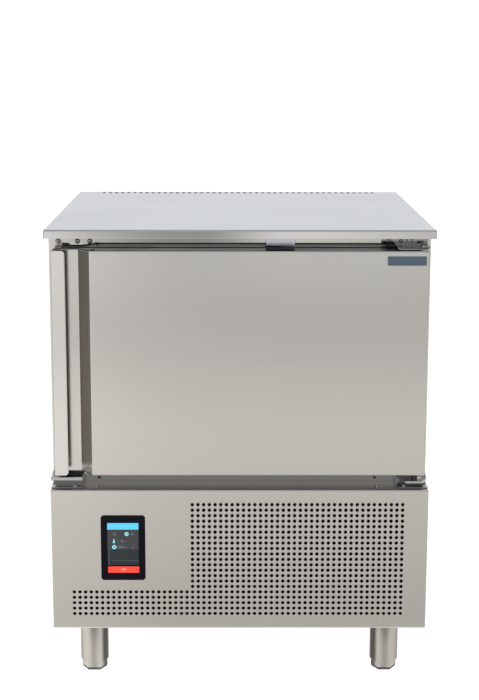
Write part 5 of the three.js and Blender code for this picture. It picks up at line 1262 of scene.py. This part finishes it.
    @staticmethod
    def coil(node, middle, width, foot, pitch, bends, fin_finish, tube_finish):
        """Thin fins between two end plates, straight tubes through them, and a bend from one tube to the
        next: a half circle with a round section."""
        (_, y0, z0), (_, y1, z1) = span(node)
        left, right = middle - width / 2, middle + width / 2
        places = np.arange(left + 4, right - 4, pitch)
        fins = [block(x, y0 + 1, z0 + foot, x + 0.5, y1 - 1, z1 - 0.5) for x in places]
        plates = [block(x - 1.5, y0, z0, x + 1.5, y1, z1) for x in (left, right)]
        piece(f"{node}_fins", fins + plates, fin_finish, stands_for=[node], sharp=30)
        step = (z1 - z0 - foot - 20) / (2 * bends)
        tube, tubes = 4.6, []
        turn = np.linspace(-np.pi / 2, np.pi / 2, 9)
        for row in ((y0 + y1) / 2 - (y1 - y0) / 4, (y0 + y1) / 2 + (y1 - y0) / 4):
            for k in range(2 * bends + 1):
                rod = [(0, left - 1.5), (tube, left - 1.5), (tube, right + 1.5), (0, right + 1.5)]
                tubes.append(turned(rod, (0, row, z0 + foot + 10 + k * step), "x", 10))
            for hand, end in ((-1, left - 1.5), (1, right + 1.5)):
                for k in range(bends):
                    z = z0 + foot + 10 + step * (2 * k + (1.5 if hand > 0 else 0.5))
                    arc = np.stack([end + hand * np.cos(turn) * min(step / 2, 13), np.full(9, row),
                                    z + np.sin(turn) * step / 2], -1)
                    tubes.append(wire(arc, tube, 10, False, (0, 1, 0)))
        piece(f"{node}_tubes", tubes, tube_finish, sharp=50)


# Solids right behind the air inlet get a near-black finish, painted shade of the depth behind its holes; the
# smooth blocks that close the door's ends get the caps' plastic.
PAINTED_SHADE_AND_CAPS = {"electrical_box": "grey_enamel", "electrical_box_lid": "grey_enamel", "base_pan": "grey_enamel",
           "condenser_shroud": "grey_enamel", "door_cap_top": "cap_plastic", "door_cap_bottom": "cap_plastic"}


class CHILLER_OT_solids(ChillerOperator, bpy.types.Operator):
    """Finishes of the solids whose shape is kept"""

    bl_idname = "chiller.solids"
    bl_label = "Kept solids"

    def build(self, sizes):
        shown = {s["node"]: s["material_slot"] for s in frame["record"]["subparts"]}
        for node, thing in frame["nodes"].items():
            dress(PAINTED_SHADE_AND_CAPS.get(node, shown[node]), node)
            thing.data.polygons.foreach_set("use_smooth", np.zeros(len(thing.data.polygons), bool))


class CHILLER_OT_stage(ChillerOperator, bpy.types.Operator):
    """Floor, light and camera"""

    bl_idname = "chiller.stage"
    bl_label = "Stage"

    def build(self, sizes):
        self.floor()
        self.sky()
        self.lamp("key_light", (-2.6, -2.6, 2.9), (0, -0.3, 0.6), (1.6, 1.6), 26)
        self.lamp("fill_light", (2.9, -2.2, 2.2), (0, -0.3, 0.6), (1.2, 1.6), 10)
        self.lamp("top_light", (0, 0.6, 3.2), (0, 0, 0.9), (2.4, 2.0), 14)
        self.camera()
        bpy.context.scene.view_settings.view_transform = "Standard"

    @staticmethod
    def ramp(nodes, links, value, stops):
        """A smooth function of one value, given by its values at a few places."""
        low, high = stops[0][0], stops[-1][0]
        spread = nodes.new("ShaderNodeMapRange")
        spread.inputs["From Min"].default_value, spread.inputs["From Max"].default_value = low, high
        links.new(value, spread.inputs["Value"])
        ramp = nodes.new("ShaderNodeValToRGB")
        fill_ramp(ramp.color_ramp, [((at - low) / (high - low), (level,) * 3) for at, level in stops])
        links.new(spread.outputs[0], ramp.inputs[0])
        return ramp.outputs[0]

    @staticmethod
    def product(nodes, links, first, second):
        both = nodes.new("ShaderNodeMath")
        both.operation = "MULTIPLY"
        links.new(first, both.inputs[0])
        links.new(second, both.inputs[1])
        return both.outputs[0]

    @staticmethod
    def seen_plain(nodes, links, level):
        """Plain white where it is looked at, and the given level where it lights the cabinet or shows in its
        steel."""
        direct = nodes.new("ShaderNodeMapRange")
        links.new(nodes.new("ShaderNodeLightPath").outputs["Is Camera Ray"], direct.inputs["Value"])
        links.new(level, direct.inputs["To Min"])
        direct.inputs["To Max"].default_value = LOOKED_AT
        return direct.outputs[0]

    @classmethod
    def floor(cls):
        """A plain pale floor, which carries soft bands where it shows in the steel."""
        mesh = bpy.data.meshes.new("floor")
        ring = place(circle(FLOOR_RADIUS, 64), "plan", -0.0005)
        mesh.from_pydata(ring.tolist(), [], [list(range(64))])
        thing = bpy.data.objects.new("floor", mesh)
        bpy.context.scene.collection.objects.link(thing)
        recipe = Recipe("pale_floor", (0.10, 0.10, 0.10), 0.8)
        nodes, links = recipe.tree.nodes, recipe.tree.links
        split = recipe.add("ShaderNodeSeparateXYZ", ("Vector", recipe.coordinates))
        depth = cls.ramp(nodes, links, split.outputs["Y"], FLOOR_DEPTH)
        away = recipe.add("ShaderNodeMath", (1, split.outputs["Y"]))
        away.operation, away.inputs[0].default_value = "SUBTRACT", MIRRORED_VIEW
        slant = recipe.add("ShaderNodeMath", (0, split.outputs["X"]), (1, away.outputs[0]))
        slant.operation = "DIVIDE"
        across = cls.ramp(nodes, links, slant.outputs[0], FLOOR_ACROSS)
        for (start, end), stops in ((MIDDLE, FLOOR_MIDDLE), (FAR, FLOOR_FAR)):
            band = cls.ramp(nodes, links, slant.outputs[0], stops)
            beyond = recipe.add("ShaderNodeMapRange", ("Value", split.outputs["Y"]), ("To Max", band),
                                From_Min=start, From_Max=end, To_Min=1.0)
            across = cls.product(nodes, links, across, beyond.outputs[0])
        grain = recipe.ranged(recipe.noise((40, 40, 40), 3.0, 0.5), 0.99, 1.0)
        level = cls.product(nodes, links, cls.product(nodes, links, depth, across), grain)
        recipe.link(cls.seen_plain(nodes, links, level), "Emission Strength")
        warmth = recipe.ranged(split.outputs["Y"], 0.0, 1.0, -3.6, -0.8)
        tone = nodes.new("ShaderNodeMix")
        tone.data_type = "RGBA"
        tone.inputs[6].default_value = (1.0, 0.99, 0.972, 1)
        tone.inputs[7].default_value = (1.0, 0.975, 0.925, 1)
        links.new(warmth, tone.inputs["Factor"])
        recipe.link(tone.outputs[2], "Emission Color")
        mesh.materials.append(recipe.material)

    @classmethod
    def sky(cls):
        """A plain pale room, which is lighter behind and in front to the left where it shows in the steel."""
        world = bpy.data.worlds.new("pale_room")
        world.use_nodes = True
        bpy.context.scene.world = world
        nodes, links = world.node_tree.nodes, world.node_tree.links
        split = nodes.new("ShaderNodeSeparateXYZ")
        links.new(nodes.new("ShaderNodeTexCoord").outputs["Generated"], split.inputs[0])
        height = cls.ramp(nodes, links, split.outputs["Z"], SKY_HEIGHT)
        depth = cls.ramp(nodes, links, split.outputs["Y"], SKY_DEPTH)
        across = cls.ramp(nodes, links, split.outputs["X"], SKY_ACROSS)
        level = cls.product(nodes, links, cls.product(nodes, links, height, depth), across)
        links.new(cls.seen_plain(nodes, links, level), nodes["Background"].inputs["Strength"])
        nodes["Background"].inputs["Color"].default_value = (0.93, 0.96, 1.0, 1)

    @staticmethod
    def lamp(name, place_at, target, size, power):
        """A flat lamp that lights the cabinet, but doesn't show in its steel."""
        light = bpy.data.lights.new(name, "AREA")
        light.shape, light.size, light.size_y, light.energy = "RECTANGLE", size[0], size[1], power
        thing = bpy.data.objects.new(name, light)
        thing.location = place_at
        thing.rotation_euler = (Vector(target) - Vector(place_at)).to_track_quat("-Z", "Y").to_euler()
        thing.visible_glossy = False
        bpy.context.scene.collection.objects.link(thing)

    @staticmethod
    def camera():
        """The photograph's viewpoint, found from measured corners of the cabinet."""
        eye, (pitch, yaw, roll) = (-0.0185, -3.5604, 1.328), np.radians((11.15, -0.32, 0.10))
        right = Vector((math.cos(yaw), math.sin(yaw), 0))
        level = Vector((-math.sin(yaw), math.cos(yaw), 0))
        ahead = math.cos(pitch) * level - math.sin(pitch) * Vector((0, 0, 1))
        above = math.sin(pitch) * level + math.cos(pitch) * Vector((0, 0, 1))
        u = math.cos(roll) * right + math.sin(roll) * above
        v = -math.sin(roll) * right + math.cos(roll) * above
        lens = bpy.data.cameras.new("camera")
        lens.sensor_fit, lens.sensor_height, lens.lens = "VERTICAL", 36.0, 81.55
        lens.clip_end = 60
        thing = bpy.data.objects.new("camera", lens)
        thing.matrix_world = Matrix((*zip(u, v, -ahead, eye), (0, 0, 0, 1)))
        bpy.context.scene.collection.objects.link(thing)
        bpy.context.scene.camera = thing


class CHILLER_PT_panel(bpy.types.Panel):
    """The steps that build the chiller"""

    bl_label = "Blast chiller"
    bl_idname = "CHILLER_PT_panel"
    bl_space_type = "VIEW_3D"
    bl_region_type = "UI"
    bl_category = "Chiller"

    def draw(self, context):
        for group in (context.scene.chiller_sizes, context.scene.chiller_finishes):
            for name in group.__annotations__:
                self.layout.prop(group, name)
        for step in STEPS:
            self.layout.operator(step.bl_idname)


GROUPS = (ChillerSizes, ChillerFinishes)
STEPS = (
    CHILLER_OT_solids, CHILLER_OT_worktop, CHILLER_OT_casing, CHILLER_OT_air_inlet, CHILLER_OT_display,
    CHILLER_OT_door, CHILLER_OT_fittings, CHILLER_OT_feet, CHILLER_OT_back, CHILLER_OT_chamber,
    CHILLER_OT_air_circuit, CHILLER_OT_stage,
)
CLASSES = (*GROUPS, *STEPS, CHILLER_PT_panel)


def register():
    for cls in CLASSES:
        bpy.utils.register_class(cls)
    bpy.types.Scene.chiller_sizes = bpy.props.PointerProperty(type=ChillerSizes)
    bpy.types.Scene.chiller_finishes = bpy.props.PointerProperty(type=ChillerFinishes)


def unregister():
    del bpy.types.Scene.chiller_sizes, bpy.types.Scene.chiller_finishes
    for cls in reversed(CLASSES):
        bpy.utils.unregister_class(cls)


def main():
    register()
    FINISH.update(make_finishes(bpy.context.scene.chiller_finishes))
    for step in STEPS:
        group, name = step.bl_idname.split(".")
        if getattr(getattr(bpy.ops, group), name)() != {"FINISHED"}:
            raise RuntimeError(f"{step.bl_label} wasn't built")


if __name__ == "__main__":
    main()
